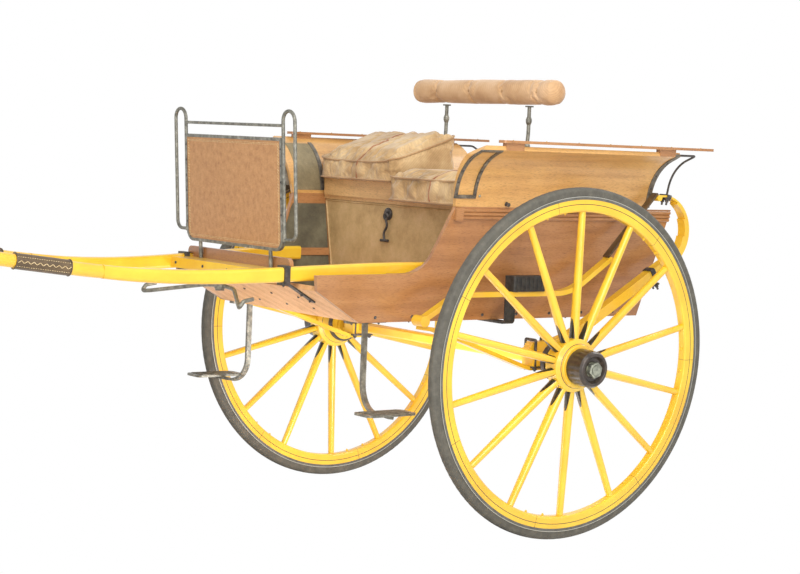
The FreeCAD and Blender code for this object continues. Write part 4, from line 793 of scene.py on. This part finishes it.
def cushion(node, crown, sag, grow, fold_depth, slack, runs=(), fine=(), braid_y=None):
    """Simulates one cushion inside its node's shape, adds broad and fine drawn folds, piping and a braid."""
    name = node + "_pad"
    low, high = cart_box(node)
    high[2], rise = top_plane(node, low, high)
    inner_low, inner_high = low + [7, 7, 0.5], high - [7, 7, 3]
    middle, half = (inner_low + inner_high) / 2, (inner_high - inner_low) / 2
    rings, seam = case(inner_low, inner_high, crown, rise, sag)
    base = inner_low[2] + 6

    def raised(points):
        """What a wedge's slope adds to the height at each point."""
        return rise * (inner_high[0] - points[:, 0]) / (inner_high - inner_low)[0]

    def outness(points):
        """0 over the cushion's middle, 1 at its outline."""
        return np.abs((points[:, :2] - middle[:2]) / half[:2]).max(1)

    def hold(points):
        off_seam = points[:, 2] - seam - raised(points)
        at_seam = np.exp(-(off_seam / 7) ** 2) + np.exp(-((points[:, 2] - base) / 9) ** 2)
        return np.clip(0.75 * at_seam * (outness(points) > 0.93) + (points[:, 2] < base) * 0.9, 0, 1)

    after, faces, before = stuffed(net(rings), hold, grow, CLOTH_REACH, inner_low[2])
    corners = [(x, y) for x in (inner_low[0], inner_high[0]) for y in (inner_low[1], inner_high[1])]
    above = np.clip((before[:, 2] - base - 20) / 40, 0, 1)
    inside = above * np.clip((1.0 - outness(before)) / 0.12, 0, 1)
    after[:, 2] += inside * folds(before, corners, 1.6 * min(half[:2]), fold_depth, 5)
    after[:, 2] += inside * (creases(before, runs, 2.3 * fold_depth, 14) + creases(before, fine, 1.5 * fold_depth, 7))
    ears = np.exp(-np.min([np.linalg.norm(before[:, :2] - c, axis=1) for c in corners], axis=0) / 46)
    after[:, 2] += above * ears * slack
    at_front = np.exp(-((inner_high[0] - before[:, 0]) / 10) ** 2) * np.clip((before[:, 2] - base) / 20, 0, 1)
    after[:, 0] -= at_front * 0.8 * fold_depth * (1 + np.sin(before[:, 1] / 19 + 1.6 * np.sin(before[:, 2] / 31)))
    after = np.clip(after, low + [0, 0, 0.3], high + [0, 0, rise + 14])
    after[:, 2] = np.minimum(after[:, 2], high[2] + 12 + raised(after))
    soft_piece(name, after, faces, node, CLOTH)

    def welt(level, lift):
        """Piping along the outline at a level, moved with the cloth."""
        edge = middle[:2] + superellipse(SEAM_POINTS) * (half[:2] + 1.5)
        path = np.column_stack([edge, np.full(SEAM_POINTS, level)])
        path[:, 2] += lift * (raised(path) - dip(path, sag))
        path = relaxed(carried_along(path, before, after))
        path = np.clip(path, low + WELT + 0.2, high + [-WELT, -WELT, rise + 12])
        return carried(path, circle(WELT, 10), RISE, loop=True)

    if braid_y is not None:
        over = spread(inner_high[0], inner_low[0] + 10, 70)
        s = np.abs(over - middle[0]) / half[0]
        top = np.column_stack([over, braid_y + 22 * np.sin(2.6 * (1 - s) * np.sign(over - middle[0]) + 0.6),
                               seam + crown * (1 - s ** 4) + 1])
        top[:, 2] += raised(top) - dip(top, sag)
        front = places(inner_high[0], top[0, 1], spread(base, seam, 17)[:-1])
        line = carried_along(np.concatenate([front, top]), before, after)
        line = np.clip(line[:-1] / 2 + line[1:] / 2, low + 4.5, high + [-4.5, -4.5, rise + 12])
        piece(name + "_braid", carried(line, circle(BRAID_RADIUS, 10), OUT), "cart", BRAID, sharp=180)
    piece(name + "_piping", joined(welt(seam, 1), welt(base, 0)), "cart", PIPING, sharp=180)
    print(name, "points", len(after), "seam at", round(seam, 1), "box", np.round(after.min(0)), np.round(after.max(0)))


cushion("cushion_driver", 24, (140, -290, 10, 170), 0.08, 5.5, 12,
        [(305, -50, -40, -140), (300, -130, -40, -290), (290, -300, -40, -430), (270, -420, -20, -540),
         (-30, -50, 190, -250), (180, -30, -50, -70)],
        [(295, y, -20 - 40 * math.sin(y), y + 170 + 60 * math.cos(y)) for y in range(-535, -190, 30)], -268)
cushion("cushion_passenger", 24, (150, 260, 6, 220), 0.06, 4.5, 6,
        [(330, 40, -80, 60), (320, 130, -60, 220), (310, 330, 0, 420), (330, 440, 60, 520)],
        [(330, y, 10 - 60 * math.sin(y), y + 120 + 50 * math.cos(y)) for y in range(30, 400, 34)], 285)
cushion("cushion_rear", 22, (-440, 0, 6, 300), 0.04, 3.0, 2)

# %% [markdown]
# The backrest is a long roll of stuffed cloth on two irons. Buttons along its front and back pull the cloth
# in, short folds run out from each of them, and one more button closes each end. The roll is a circle carried
# along Y whose radius dips at the buttons, stuffed like the cushions, with the buttons added after.

# %% Backrest roll
roll_low, roll_high = cart_box("backrest_roll")
ROLL = (roll_low + roll_high) / 2
_, ROLL_HALF, ROLL_R = (roll_high - roll_low) / 2
BUTTONS = [(y, at) for y in spread(-0.60, 0.80, 4) * ROLL_HALF for at in (0.05, math.pi - 0.05)]


def spoke(angle):
    """The direction square to the roll at an angle up from the front."""
    return np.array([math.cos(angle), 0, math.sin(angle)])


def roll_case(rows=150, around=96):
    """Radius = R * end rounding * (1 - dents); a dent is a bell round each button."""
    y = np.sin(spread(-math.pi / 2, math.pi / 2, rows)) * (ROLL_HALF - 5)
    end = np.clip(1 - np.abs(y / (ROLL_HALF - 5)) ** 46, 0, 1) ** 0.5
    angle = spread(0, 2 * math.pi, around, endpoint=False)
    dents = np.zeros((rows, around))
    for centre, at in BUTTONS:
        turn = np.abs((angle - at + math.pi) % (2 * math.pi) - math.pi) * ROLL_R
        dents += 0.15 * np.exp(-(np.hypot(y[:, None] - centre, turn[None]) / 15) ** 1.3)
    radius = (ROLL_R - 4) * end[:, None] * (1 - dents)
    ring = np.stack([np.cos(angle), np.zeros(around), np.sin(angle)], -1)
    return ROLL + radius[..., None] * ring[None] + y[:, None, None] * OUT


def roll_hold(points):
    """Points near a button or an end seam keep their place."""
    off = points - ROLL
    firm = np.exp(-((np.abs(off[:, 1]) - ROLL_HALF + 16) / 7) ** 2) * 0.8
    for centre, at in BUTTONS:
        spot = spoke(at) * (ROLL_R - 7) * 0.85 + [0, centre, 0]
        firm = np.maximum(firm, 0.9 * np.exp(-(np.linalg.norm(off - spot, axis=1) / 9) ** 2))
    return np.clip(firm, 0, 1)


after, faces, _ = stuffed(net(roll_case()), roll_hold, 0.03, 6)
off = after - ROLL
reach_out = np.hypot(off[:, 0], off[:, 2])
off[:, [0, 2]] *= np.minimum(1, (ROLL_R - 0.6) / np.maximum(reach_out, 1))[:, None]
off[:, 1] = np.clip(off[:, 1], -ROLL_HALF + 0.5, ROLL_HALF - 0.5)
soft_piece("backrest_roll_pad", ROLL + off, faces, "backrest_roll", ROLL_CLOTH)
button = turned([(-3, 0), (-3, 6), (0, 7.5), (2.5, 6), (3.8, 3), (4, 0)], sides=20)
normals = [spoke(at) for _, at in BUTTONS] + [OUT, IN]
spots = [ROLL + spoke(at) * (ROLL_R - 4) * 0.87 + [0, centre, 0] for centre, at in BUTTONS]
spots += [ROLL + [0, sign * (ROLL_HALF - 9), 0] for sign in (1, -1)]
piece("backrest_buttons", set_on(button, spots, normals), "cart", PIPING)
print("roll", len(after), "points, radius", round(ROLL_R, 1))

# %% [markdown]
# Bolts, nuts and studs are turned from short profiles: a nut is the same turning with six sides. Stitches
# are little spindles, laid end to end along a seam.

# %% Bolts, nuts, studs and stitches
def dome(size):
    """A bolt's round head, of a radius."""
    return turned([(-1, 0), (-1, size), (0.18 * size, size), (0.52 * size, 0.78 * size), (0.74 * size, 0.4 * size),
                   (0.8 * size, 0)], sides=14)


def nut(size):
    """A chamfered hexagon nut, with the end of its bolt standing out of it."""
    hexagon = turned([(-1, 0), (-1, size), (0.7 * size, size), (0.85 * size, 0.82 * size), (0.85 * size, 0)], sides=6)
    bolt = turned([(0, 0), (0, 0.5 * size), (1.25 * size, 0.5 * size), (1.4 * size, 0.36 * size), (1.4 * size, 0)],
                  sides=12)
    return joined(hexagon, bolt)


def slab(length, width, thickness):
    """A small plate with rounded corners, lying on XY."""
    return carried([(0, 0, -1), (0, 0, thickness - 1), (0, 0, thickness)], strap(length, width, 28, 0.22), FORE)


def ribs(spots, along, half, lift, section, side):
    """Short bars on the spots, half as long each way along a direction, drawn in at their ends."""
    run = np.outer([-half, 2 - half, half - 2, half], along) + lift
    return joined(*[carried(spot + run, section, side) for spot in spots])


def stitch(length=7.0, radius=0.9):
    """A spindle along X: a profile that is thin at both ends, turned."""
    half = length / 2
    return turned([(-half, 0), (-half + radius / 2, 0.7 * radius), (-half + 1.5 * radius, radius),
                   (half - 1.5 * radius, radius), (half - radius / 2, 0.7 * radius), (half, 0)], axis=FORE, sides=6)


def sewn(path, normal, pitch=11.0, length=7.0, radius=0.9):
    """Stitches along an open path, evenly spaced by its arc length."""
    run = np.concatenate([[0], np.cumsum(np.linalg.norm(np.diff(path, axis=0), axis=1))])
    at = np.arange(pitch / 2, run[-1], pitch)
    here, ahead = (np.stack([np.interp(at + step, run, axis) for axis in path.T], -1) for step in (0, 0.5))
    return set_on(stitch(length, radius), here, normal, ahead - here)


def fitted(name, shape, slot="dark_iron", finish=IRON, sides=2):
    """Makes a fitting, on both sides of the cart unless it is told otherwise."""
    made = piece(name, both_sides(shape) if sides == 2 else shape, "cart", finish)
    print(name, "has", len(made.data.vertices), "points")


def fixed(name, shape, node, starts, ahead, *how, along=None, **more):
    """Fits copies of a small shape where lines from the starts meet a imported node."""
    fitted(name, set_on(shape, *landing(node, places(*starts), ahead), along), *how, **more)


# %% [markdown]
# The body is held together by coach bolts: a row of round heads along the foot of each side, nuts under the
# floor's edge, studs in the slanted toe board, and heads along the front board's foot. A turned knob stands on
# each wing's foot, and a corner block closes each moulding.

# %% Bolts of the body
panel_low, _ = cart_box("side_panel_left")
board_low, _ = cart_box("front_board")
knob = turned([(-1, 0), (-1, 9), (2, 9), (3, 5), (8, 4.5), (11, 7.5), (16, 8.5), (20, 5.5), (21, 0)], sides=20)
side_row = spread(panel_low[0] + 60, 730, 9)
fixed("side_bolts", dome(6.5), "side_panel_left", (side_row, FAR, panel_low[2] + 20), IN)
fixed("toe_board_studs", dome(5.5), "toe_board", ([870, 945], [-290, -100, 100, 290], -FAR), RISE, sides=1)
fixed("front_board_bolts", dome(6), "front_board", (FAR, spread(-330, 330, 7), board_low[2] + 16), BACK, sides=1)
fixed("floor_nuts", nut(7), "floor", ([-470, -300, 32, 150, 330, 520], 440, -FAR), RISE)
fixed("wing_knobs", knob, "wing_left", (168, FAR, 618), IN)
mould = cart_points("mouldings")
ends = mould[(mould[:, 0] > mould[:, 0].max() - 40) & (mould[:, 1] > 0)]
fixed("moulding_blocks", slab(38, np.ptp(ends[:, 2]) + 8, 5), "mouldings",
      (ends[:, 0].max() - 20, FAR, ends[:, 2].mean()), IN, "varnished_wood", BOARD, along=FORE)

# %% [markdown]
# Each wing is bound with iron at both ends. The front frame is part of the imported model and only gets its
# studs; the rear edge carries a plain strap that follows the wing's curve, found by a column of lines.

# %% Wing straps
iron_low, iron_high = cart_box("wing_irons")
wing_low, wing_high = cart_box("wing_left")
rail_low, rail_high = cart_box("top_rails")
studs = landing("wing_irons", places([iron_low[0] + 6, iron_high[0] - 6], FAR, [652, 700, 745, 785]), IN)
at, out = landing("wing_left", places(wing_low[0] + 17, FAR, spread(613, wing_high[2] - 7, 26)), IN)
rear_studs = set_on(dome(5), at[3::6] + 3.5 * out[3::6], out[3::6])
fitted("wing_studs", joined(set_on(dome(4.5), *studs), rear_studs))
fitted("wing_rear_straps", carried(at + 1.6 * out, strap(26, 4.2), FORE), finish=STRAP_IRON)
fixed("wing_screws", dome(6), "wing_left", (iron_low[0] - 22, FAR, 648), IN, None, NICKEL)
rail_row = spread(rail_low[0] + 60, rail_high[0] - 60, 7)
fixed("rail_screws", dome(3), "top_rails", (rail_row, rail_high[1] - 23, FAR), FALL, None, BRASS)

# %% [markdown]
# The dash is a hide sewn on a board. A double row of stitches runs round both its faces, inside the iron
# frame, and studs hold the frame. The panel leans, so two landings give the direction it rises in.

# %% Dash
panel = cart_points("dash_panel")
front, out = landing("dash_panel", places(FAR, 0, [500, 780]), BACK)
rise, out = unit(front[1] - front[0]), out[0]
height = (panel - front[0]) @ rise
bottom, top, side_y = height.min(), height.max(), panel[:, 1].max()
thick = ((front[0] - panel) @ out).max()


def dash_seam(inset):
    """A rectangle inset from the panel's edge, as points on its front face."""
    y, low, high = side_y - inset, bottom + inset, top - inset
    corners = np.array([(-y, low), (y, low), (y, high), (-y, high), (-y, low)])
    return front[0] * [1, 0, 1] + corners[:, 1:] * rise + corners[:, :1] * OUT


rows = [sewn(dash_seam(inset) + lift * out, way * out)
        for lift, way in ((0.4, 1), (-thick - 0.4, -1)) for inset in (10, 15)]
fitted("dash_stitching", joined(*rows), None, THREAD, sides=1)
studs = [landing("dash_frame", places(x, [-side_y - 6, side_y + 6], spread(490, 800, 6)), ahead)
         for x, ahead in ((FAR, BACK), (700, FORE))]
fitted("dash_studs", joined(*[set_on(dome(4.2), *stud) for stud in studs]), sides=1)

# %% [markdown]
# Below the shafts sit the clips, the cross bar and the step irons. The steps' treads are ribbed against mud,
# and a nut closes every bolt that comes through from above.

# %% Shaft irons, cross bar and steps
clip_x = cart_box("shaft_irons")[1][0] - 12
nuts = [landing("shaft_irons", places([clip_x, 985, 945], 372, -FAR), RISE),
        landing("step_left", places([650, 780], 418, 20), RISE)]
fitted("iron_nuts", joined(*[set_on(nut(5.5), *spot) for spot in nuts]))
bar_middle, step_middle = (sum(cart_box(node)) / 2 for node in ("cross_bar", "step_left"))
fixed("cross_bar_bolts", dome(6), "cross_bar", (FAR, [-300, -90, 90, 300], bar_middle[2]), BACK, sides=1)
tread, _ = landing("step_left", places(step_middle[0] + 10, 620 + spread(-40, 40, 6), 100), FALL)
fitted("tread_ribs", ribs(tread, FORE, 88, [0, 0, 1.2], strap(5, 3.4, 12), OUT), finish=RUBBED_IRON)

# %% [markdown]
# A C-spring is a pile of leaves held together by iron bands, each with two nuts below. One sits where the
# leaves lie bare and one at the spring's head, and two stirrup bolts hold the pile on the axle.

# %% Spring bands and stirrup bolts
springs = cart_points("c_springs")
springs = springs[springs[:, 1] > 0, 1]
spring_y = (springs.max() + springs.min()) / 2
spring_half = springs.max() - spring_y


def band(x, hang=34, start=-FAR):
    """A loop round the leaves at x, square to them, and two bolts that hang from it with their nuts. The
    leaves are found from below, looking up from the start."""
    below, _ = landing("c_springs", places([x - 12, x, x + 12], spring_y, start), RISE)
    above, _ = landing("c_springs", places(x, spring_y, below[1, 2] + 150), FALL)
    ahead = unit(below[2] - below[0])
    up = facing(unit(np.cross(IN, ahead)), 2) * [1, 0, 1]
    half = abs((above[0] - below[1]) @ up) / 2
    centre = below[1] + up * half
    loop = strap(2 * spring_half + 7, 2 * half + 7, 48, 0.25)
    path = centre + loop[:, :1] * OUT + loop[:, 1:] * up
    bolt = turned([(-2, 0), (-2, 4.5), (hang + 16, 4.5), (hang + 18, 3), (hang + 18, 0)], sides=12)
    heads = np.array([centre - up * (half + 2) + [0, side * 0.6 * spring_half, 0] for side in (-1, 1)])
    bridge = set_on(slab(24, 2 * spring_half + 4, 5), [centre - up * (half + hang - 6)], -up, ahead)
    return joined(carried(path, strap(24, 4, 12), ahead, loop=True), set_on(bolt, heads, -up), bridge,
                  set_on(nut(8), heads - (hang - 1) * up, -up))


fitted("spring_bands", joined(band(-610), band(-664, 12, 560)))
tops, _ = landing("c_springs", places([-40, 40], spring_y, 300), FALL)
bottoms, _ = landing("axle", places([-40, 40], spring_y, -FAR), RISE)
reach = spring_half + 9
stirrups, ends = [], []
for top_at, low_at in zip(tops, bottoms):
    foot, crest = low_at[2] - 16, top_at[2] + 8
    legs = bent([[0, -reach, foot], [0, -reach, crest], [0, reach, crest], [0, reach, foot]])
    stirrups.append(carried(legs + [top_at[0], spring_y, 0], circle(6, 12), FORE))
    ends += [[top_at[0], spring_y + side * reach, low_at[2] - 7] for side in (-1, 1)]
plate = set_on(slab(112, 2 * reach + 26, 7), [[0, spring_y, bottoms[:, 2].mean()]], FALL, FORE)
fitted("axle_stirrups", joined(*stirrups, plate, set_on(nut(9), ends, FALL)))
print("spring at", round(spring_y, 1), "half width", round(spring_half, 1))

# %% [markdown]
# The buffer blocks under the body are moulded with upright ribs, the seat's front is finished with a rolled
# welt along its edges, and each of the backrest's irons has a forged knuckle where its upper part folds.

# %% Buffer ribs, seat welt and knuckles
rib_at, _ = landing("loop_brackets", places(spread(22, 148, 7), FAR, 305), IN)
fitted("buffer_ribs", ribs(rib_at, RISE, 24, [0, 0.5, 0], strap(7, 4, 12), FORE), "dark_iron", BLOCK)
front_points = cart_points("seat_front")
seat_x, low_z, high_z = front_points[:, 0].max(), front_points[:, 2].min(), front_points[:, 2].max()
low_y, high_y = (front_points[np.abs(front_points[:, 2] - z) < 3, 1].max() - 6 for z in (low_z, high_z))
welt = bent([[seat_x + 1, y, z] for y, z in ((-low_y, low_z + 40), (-high_y, high_z - 7), (high_y, high_z - 7),
                                             (low_y, low_z + 40))])
fitted("seat_front_welt", carried(welt, circle(4, 10), FORE), "trim_cloth", TRIM, sides=1)
irons = cart_points("backrest_irons")
stem_y = np.abs(irons[irons[:, 2] < roll_low[2] - 30, 1])
stem_at = places([FAR], (stem_y.min() + stem_y.max()) / 2, roll_low[2] - 62)
stem = (landing("backrest_irons", stem_at, BACK)[0] + landing("backrest_irons", stem_at * [-1, 1, 1], FORE)[0]) / 2
knuckle = turned([(-20, 0), (-20, 7), (-14, 10), (-6, 12.5), (4, 13), (12, 10), (20, 7), (20, 0)], sides=24)
fitted("backrest_knuckles", set_on(knuckle, stem, RISE), finish=RUBBED_IRON)

# %% [markdown]
# The footwell's sides are lined with dark leather cloth, and the wings beside the seat with a paler one; both
# are darker than the wood partly as painted shade, for the shade deep in the footwell and inside the wings' front.
# A wooden sill runs on along the footwell at the shafts' level, and a strap closes each wing's inner edge. A fan
# of lines, shot outwards from the cart's middle, finds the edge of the board; a second one finds its inner face.

# %% Footwell lining
def lining(node, x_range, z_range, columns=34, rows=24, margin=14, thick=1.8):
    """A sheet on a board's inner face, between two heights but never above the board's edge."""
    xs = spread(*x_range, columns)
    fan, _ = landing(node, places(xs, 0, spread(z_range[0], z_range[1] + margin, 70)), OUT)
    tops = np.array([fan[np.abs(fan[:, 0] - x) < 0.5, 2].max() for x in xs]) - margin
    levels = z_range[0] + (tops - z_range[0])[:, None] * spread(0, 1, rows)
    starts = np.stack([np.repeat(xs[:, None], rows, 1), 0 * levels, levels], -1).reshape(-1, 3)
    at, out = landing(node, starts, OUT)
    face, back = (at + thick * out).reshape(columns, rows, 3), (at - out).reshape(columns, rows, 3)
    rings = np.concatenate([face, back[:, ::-1]], 1)
    ends = [np.repeat(ring.mean(0)[None, None], 2 * rows, 1) for ring in (rings[0], rings[-1])]
    return net(np.concatenate([ends[0], rings, ends[1]]))


WELL = (256, 690)
shaft = cart_points("shaft_left")
sill = shaft[shaft[:, 0] < shaft[:, 0].min() + 60, 2].mean()
wing_wall = lining("wing_left", (270, wing_high[0] - 45), (618, wing_high[2] - 30))
sill_rail = lining("side_panel_left", WELL, (sill - 16, sill + 16), margin=0, thick=9)
# painted shade: the dark lining stands partly for the shade deep in the footwell
fitted("footwell_lining", lining("side_panel_left", WELL, (182, 560)), None, DARK_SHADE_LINING)
fitted("footwell_sills", sill_rail, "varnished_wood", BOARD)
fitted("wing_lining", wing_wall, None, DRAB_SHADE_LINING)
at, out = landing("wing_left", places(266, 0, spread(618, wing_high[2] - 26, 26)), OUT)
fitted("wing_inner_straps", carried(at + 2.2 * out, strap(20, 4), FORE), finish=STRAP_IRON)

# %% [markdown]
# The leather on each shaft is sewn up along its length and laced outside. Its axis is the direction its
# points spread out in most.

# %% Shaft leathers
leather = cart_points("shaft_leathers")
leather = leather[leather[:, 1] > 0]
middle = leather.mean(0)
along = facing(np.linalg.svd(leather - middle, full_matrices=False)[2][0], 0)
reach_along = ((leather - middle) @ along).max()
shaft_r = np.linalg.norm(np.cross(leather - middle, along), axis=1).max()
outward = facing(unit(np.cross(along, RISE)), 1)
upward = facing(np.cross(along, outward), 2)


def on_leather(end, count, turn):
    """Points along the leather to a share of its ends, and their normal, at an angle up from its outer side."""
    normal = math.cos(turn) * outward + math.sin(turn) * upward
    return middle + spread(-end, end, count)[:, None] * reach_along * along + (shaft_r + 0.3) * normal, normal


rows = [sewn(*on_leather(0.95, 30, turn), 9, 6, 1.0) for turn in (-0.62, 0.62)]
tilt = np.where(np.arange(17)[:, None] % 2, along + 0.8 * upward, along - 0.8 * upward)
rows.append(set_on(stitch(15, 1.3), *on_leather(0.9, 17, 0), tilt))
fitted("leather_lacing", joined(*rows), None, THREAD)
ends = [carried(middle + share * reach_along * along + circle(shaft_r + 0.2, 40) @ np.stack([outward, upward]),
                circle(2.2, 8), along, loop=True) for share in (-0.985, 0.985)]
fitted("leather_edges", joined(*ends), "brown_leather", HARNESS)

# %% [markdown]
# Wheels turn, so their fittings ride on the wheels and are laid out in each wheel's own frame: Y outwards
# along the arm, the spokes in the XZ plane. Nuts close the felloe bolts on both sides of every joint, and
# the oil cap is a nickel hexagon with a domed middle.

# %% Fittings of the wheels
def wheel_frame(side):
    """Rows that turn the wheel's own directions into the level cart's, and the hub's place (mm)."""
    sign = 1 if side == "left" else -1
    c, s = math.cos(CAMBER), math.sin(CAMBER)
    return np.array([[sign, 0, 0], [0, sign * c, -s], [0, sign * s, c]]), levelled(HUBS[side])[0]


basis, hub = wheel_frame("left")
rim_y, cap_y = (((cart_points(node) - hub) @ basis.T)[:, 1] for node in ("rim_left", "hub_cap_left"))
rim_mid, cap_end = (rim_y.min() + rim_y.max()) / 2, cap_y.max()
turn = 2 * math.pi * (np.arange(FELLOES)[:, None] / FELLOES + 0.25 / FELLOES) + np.array([-0.075, 0.075])
radial = np.stack([np.sin(turn), 0 * turn, np.cos(turn)], -1).reshape(-1, 3)
felloe_nuts = set_on(nut(5.5), radial * RIM_INNER / MM + [0, rim_mid, 0], -radial)
hexagon, cap = [(-22, 0), (-22, 33), (-3, 33), (0, 30.5), (0, 0)], [(-1, 0), (-1, 20), (1.5, 19), (3.5, 12), (4, 0)]
oil_cap = joined(*[turned(profile, (0, cap_end, 0), OUT, sides) for profile, sides in ((hexagon, 6), (cap, 32))])
for side in HUBS:
    basis, hub = wheel_frame(side)
    for name, (points, quads), slot, finish in (
            ("felloe_nuts_", felloe_nuts, "yellow_paint_iron", FINISHES["spokes_" + side]),
            ("oil_cap_", oil_cap, None, NICKEL)):
        piece(name + side, (hub + points @ basis, quads), "wheel_" + side, finish)
print("rim middle", round(rim_mid, 1), "cap ends at", round(cap_end, 1))

# %% [markdown]
# The tailboard is kept shut by two turn-buttons on plates.

# %% Tailboard buttons
tail_top = cart_box("tailboard")[1][2]
plates, out = landing("tailboard", places(-FAR, [-380, 380], tail_top - 60), FORE)
button_plate = set_on(slab(30, 66, 4), plates, out, OUT)
turn_button = set_on(turned([(2, 0), (2, 9), (12, 8), (14, 13), (20, 13), (23, 9), (24, 0)], sides=18), plates, out)
piece("tailboard_buttons", joined(button_plate, turn_button), "tailboard", IRON)

# %% [markdown]
# The floor is a pale sheet that lies just under the tyres and takes the cart's shadow. A uniform pale world
# lights it evenly out to the horizon; what the sheet lacks to white is added for the camera's, mirrors' and
# glasses' rays only, so floor and background meet without a line and no more light falls on the cart.
# The cart stands nose-down, so an eye that sees it as if it stood level is under the sheet: the sheet is
# drawn from above only.

# %% Floor and background
AMBIENT, SHEET_TONE = 0.77, 0.90
SHEET_HALF, SHEET_LEVEL = 200, -0.001


def behind_everything(tree):
    """1 for the rays of the camera, of mirrors and of glass, and 0 for those that light the cart."""
    rays = add(tree, "LightPath").node.outputs
    seen = add(tree, "Math", (rays["Is Camera Ray"], rays["Is Glossy Ray"]), operation="MAXIMUM")
    return add(tree, "Math", (seen, rays["Is Transmission Ray"]), operation="MAXIMUM")


material, tree = blank("pale matt floor sheet")
matt = add(tree, "BsdfDiffuse", {"Color": (SHEET_TONE, SHEET_TONE, SHEET_TONE, 1.0)})
lift = add(tree, "Math", (behind_everything(tree), 1 - AMBIENT * SHEET_TONE), operation="MULTIPLY")
glow = add(tree, "Emission", {"Color": colour("#FFFFFF"), "Strength": lift})
both = add(tree, "AddShader", (matt, glow))
from_below = add(tree, "Math", (add(tree, "NewGeometry", give="Backfacing"),
                                add(tree, "LightPath", give="Is Camera Ray")), operation="MULTIPLY")
sheet = add(tree, "MixShader", (from_below, both, add(tree, "BsdfTransparent")))
add(tree, "OutputMaterial", {"Surface": sheet})
mesh = bpy.data.meshes.new("floor_sheet")
corners = np.array([(-1, -1, 0), (1, -1, 0), (1, 1, 0), (-1, 1, 0)]) * SHEET_HALF + [0, 0, SHEET_LEVEL]
mesh.from_pydata(corners.tolist(), [], [(0, 1, 2, 3)])
mesh.materials.append(material)
linked("floor_sheet", mesh)
world = bpy.data.worlds.new("pale room")
world.use_nodes = True
room = world.node_tree
room.nodes.clear()
strength = add(room, "MapRange", {"Value": behind_everything(room), "To Min": AMBIENT, "To Max": 1.0})
add(room, "OutputWorld", {"Surface": add(room, "Background", {"Color": colour("#FFFFFF"), "Strength": strength})})
bpy.context.scene.world = world

# %% [markdown]
# The cart is seen as when it is held ready for the horse, though it stands parked: camera and lamps are laid
# out round a level cart, its nose three degrees up, and turned down with it. A large soft lamp stands high
# on the camera's side; weaker ones beside the camera, behind the cart and low under it keep the shadows open.

# %% Light and camera
HELD_UP = math.radians(3)
TURN = NOSE_DOWN + HELD_UP
turned_down = np.array([[math.cos(TURN), 0, math.sin(TURN)], [0, 1, 0], [-math.sin(TURN), 0, math.cos(TURN)]])
LAMPS = (("key", (1.8, 4.0, 3.9), (0, 0, 0), 3.4, 165, "#FFFDF8"),
         ("fill", (2.6, 4.4, 1.3), (0, 0, 0), 2.4, 100, "#FFFFFF"),
         ("low", (0.45, 0.5, -0.3), (0.1, -0.75, -0.25), 0.5, 13, "#FFFFFF"),
         ("back", (-3.6, 0.5, 3.2), (0, 0, 0), 2.6, 70, "#FFFFFF"))
EYE = (5.094, 6.553, 1.1305)
YAW, PITCH = math.radians(-126.60), math.radians(-6.15)
FOCAL, SENSOR = 88.1, 36


def aimed(name, data, place, ahead):
    """Stands an object at a place (m, round the held cart, from the middle of its axle): its -Z looks
    ahead, its Y is as near to upright as it can be."""
    back = -unit(turned_down @ np.asarray(ahead, float))
    right = unit(np.cross(turned_down @ [0.0, 0.0, 1.0], back))
    made = linked(name, data)
    made.matrix_world = (Matrix.Translation(Vector(AXLE + turned_down @ place))
                         @ Matrix(np.stack([right, np.cross(back, right), back], 1)).to_4x4())
    return made


for name, place, target, size, watts, tint in LAMPS:
    data = bpy.data.lights.new(name, "AREA")
    data.shape, data.size, data.energy, data.color = "DISK", size, watts, colour(tint)[:3]
    aimed(name, data, place, np.subtract(target, place)).visible_camera = False
data = bpy.data.cameras.new("camera")
data.lens, data.sensor_width = FOCAL, SENSOR
look = (math.cos(YAW) * math.cos(PITCH), math.sin(YAW) * math.cos(PITCH), math.sin(PITCH))
bpy.context.scene.camera = aimed("camera", data, EYE, look)
bpy.context.scene.view_settings.view_transform = "Standard"
print("camera", [round(c, 3) for c in bpy.context.scene.camera.matrix_world.translation])
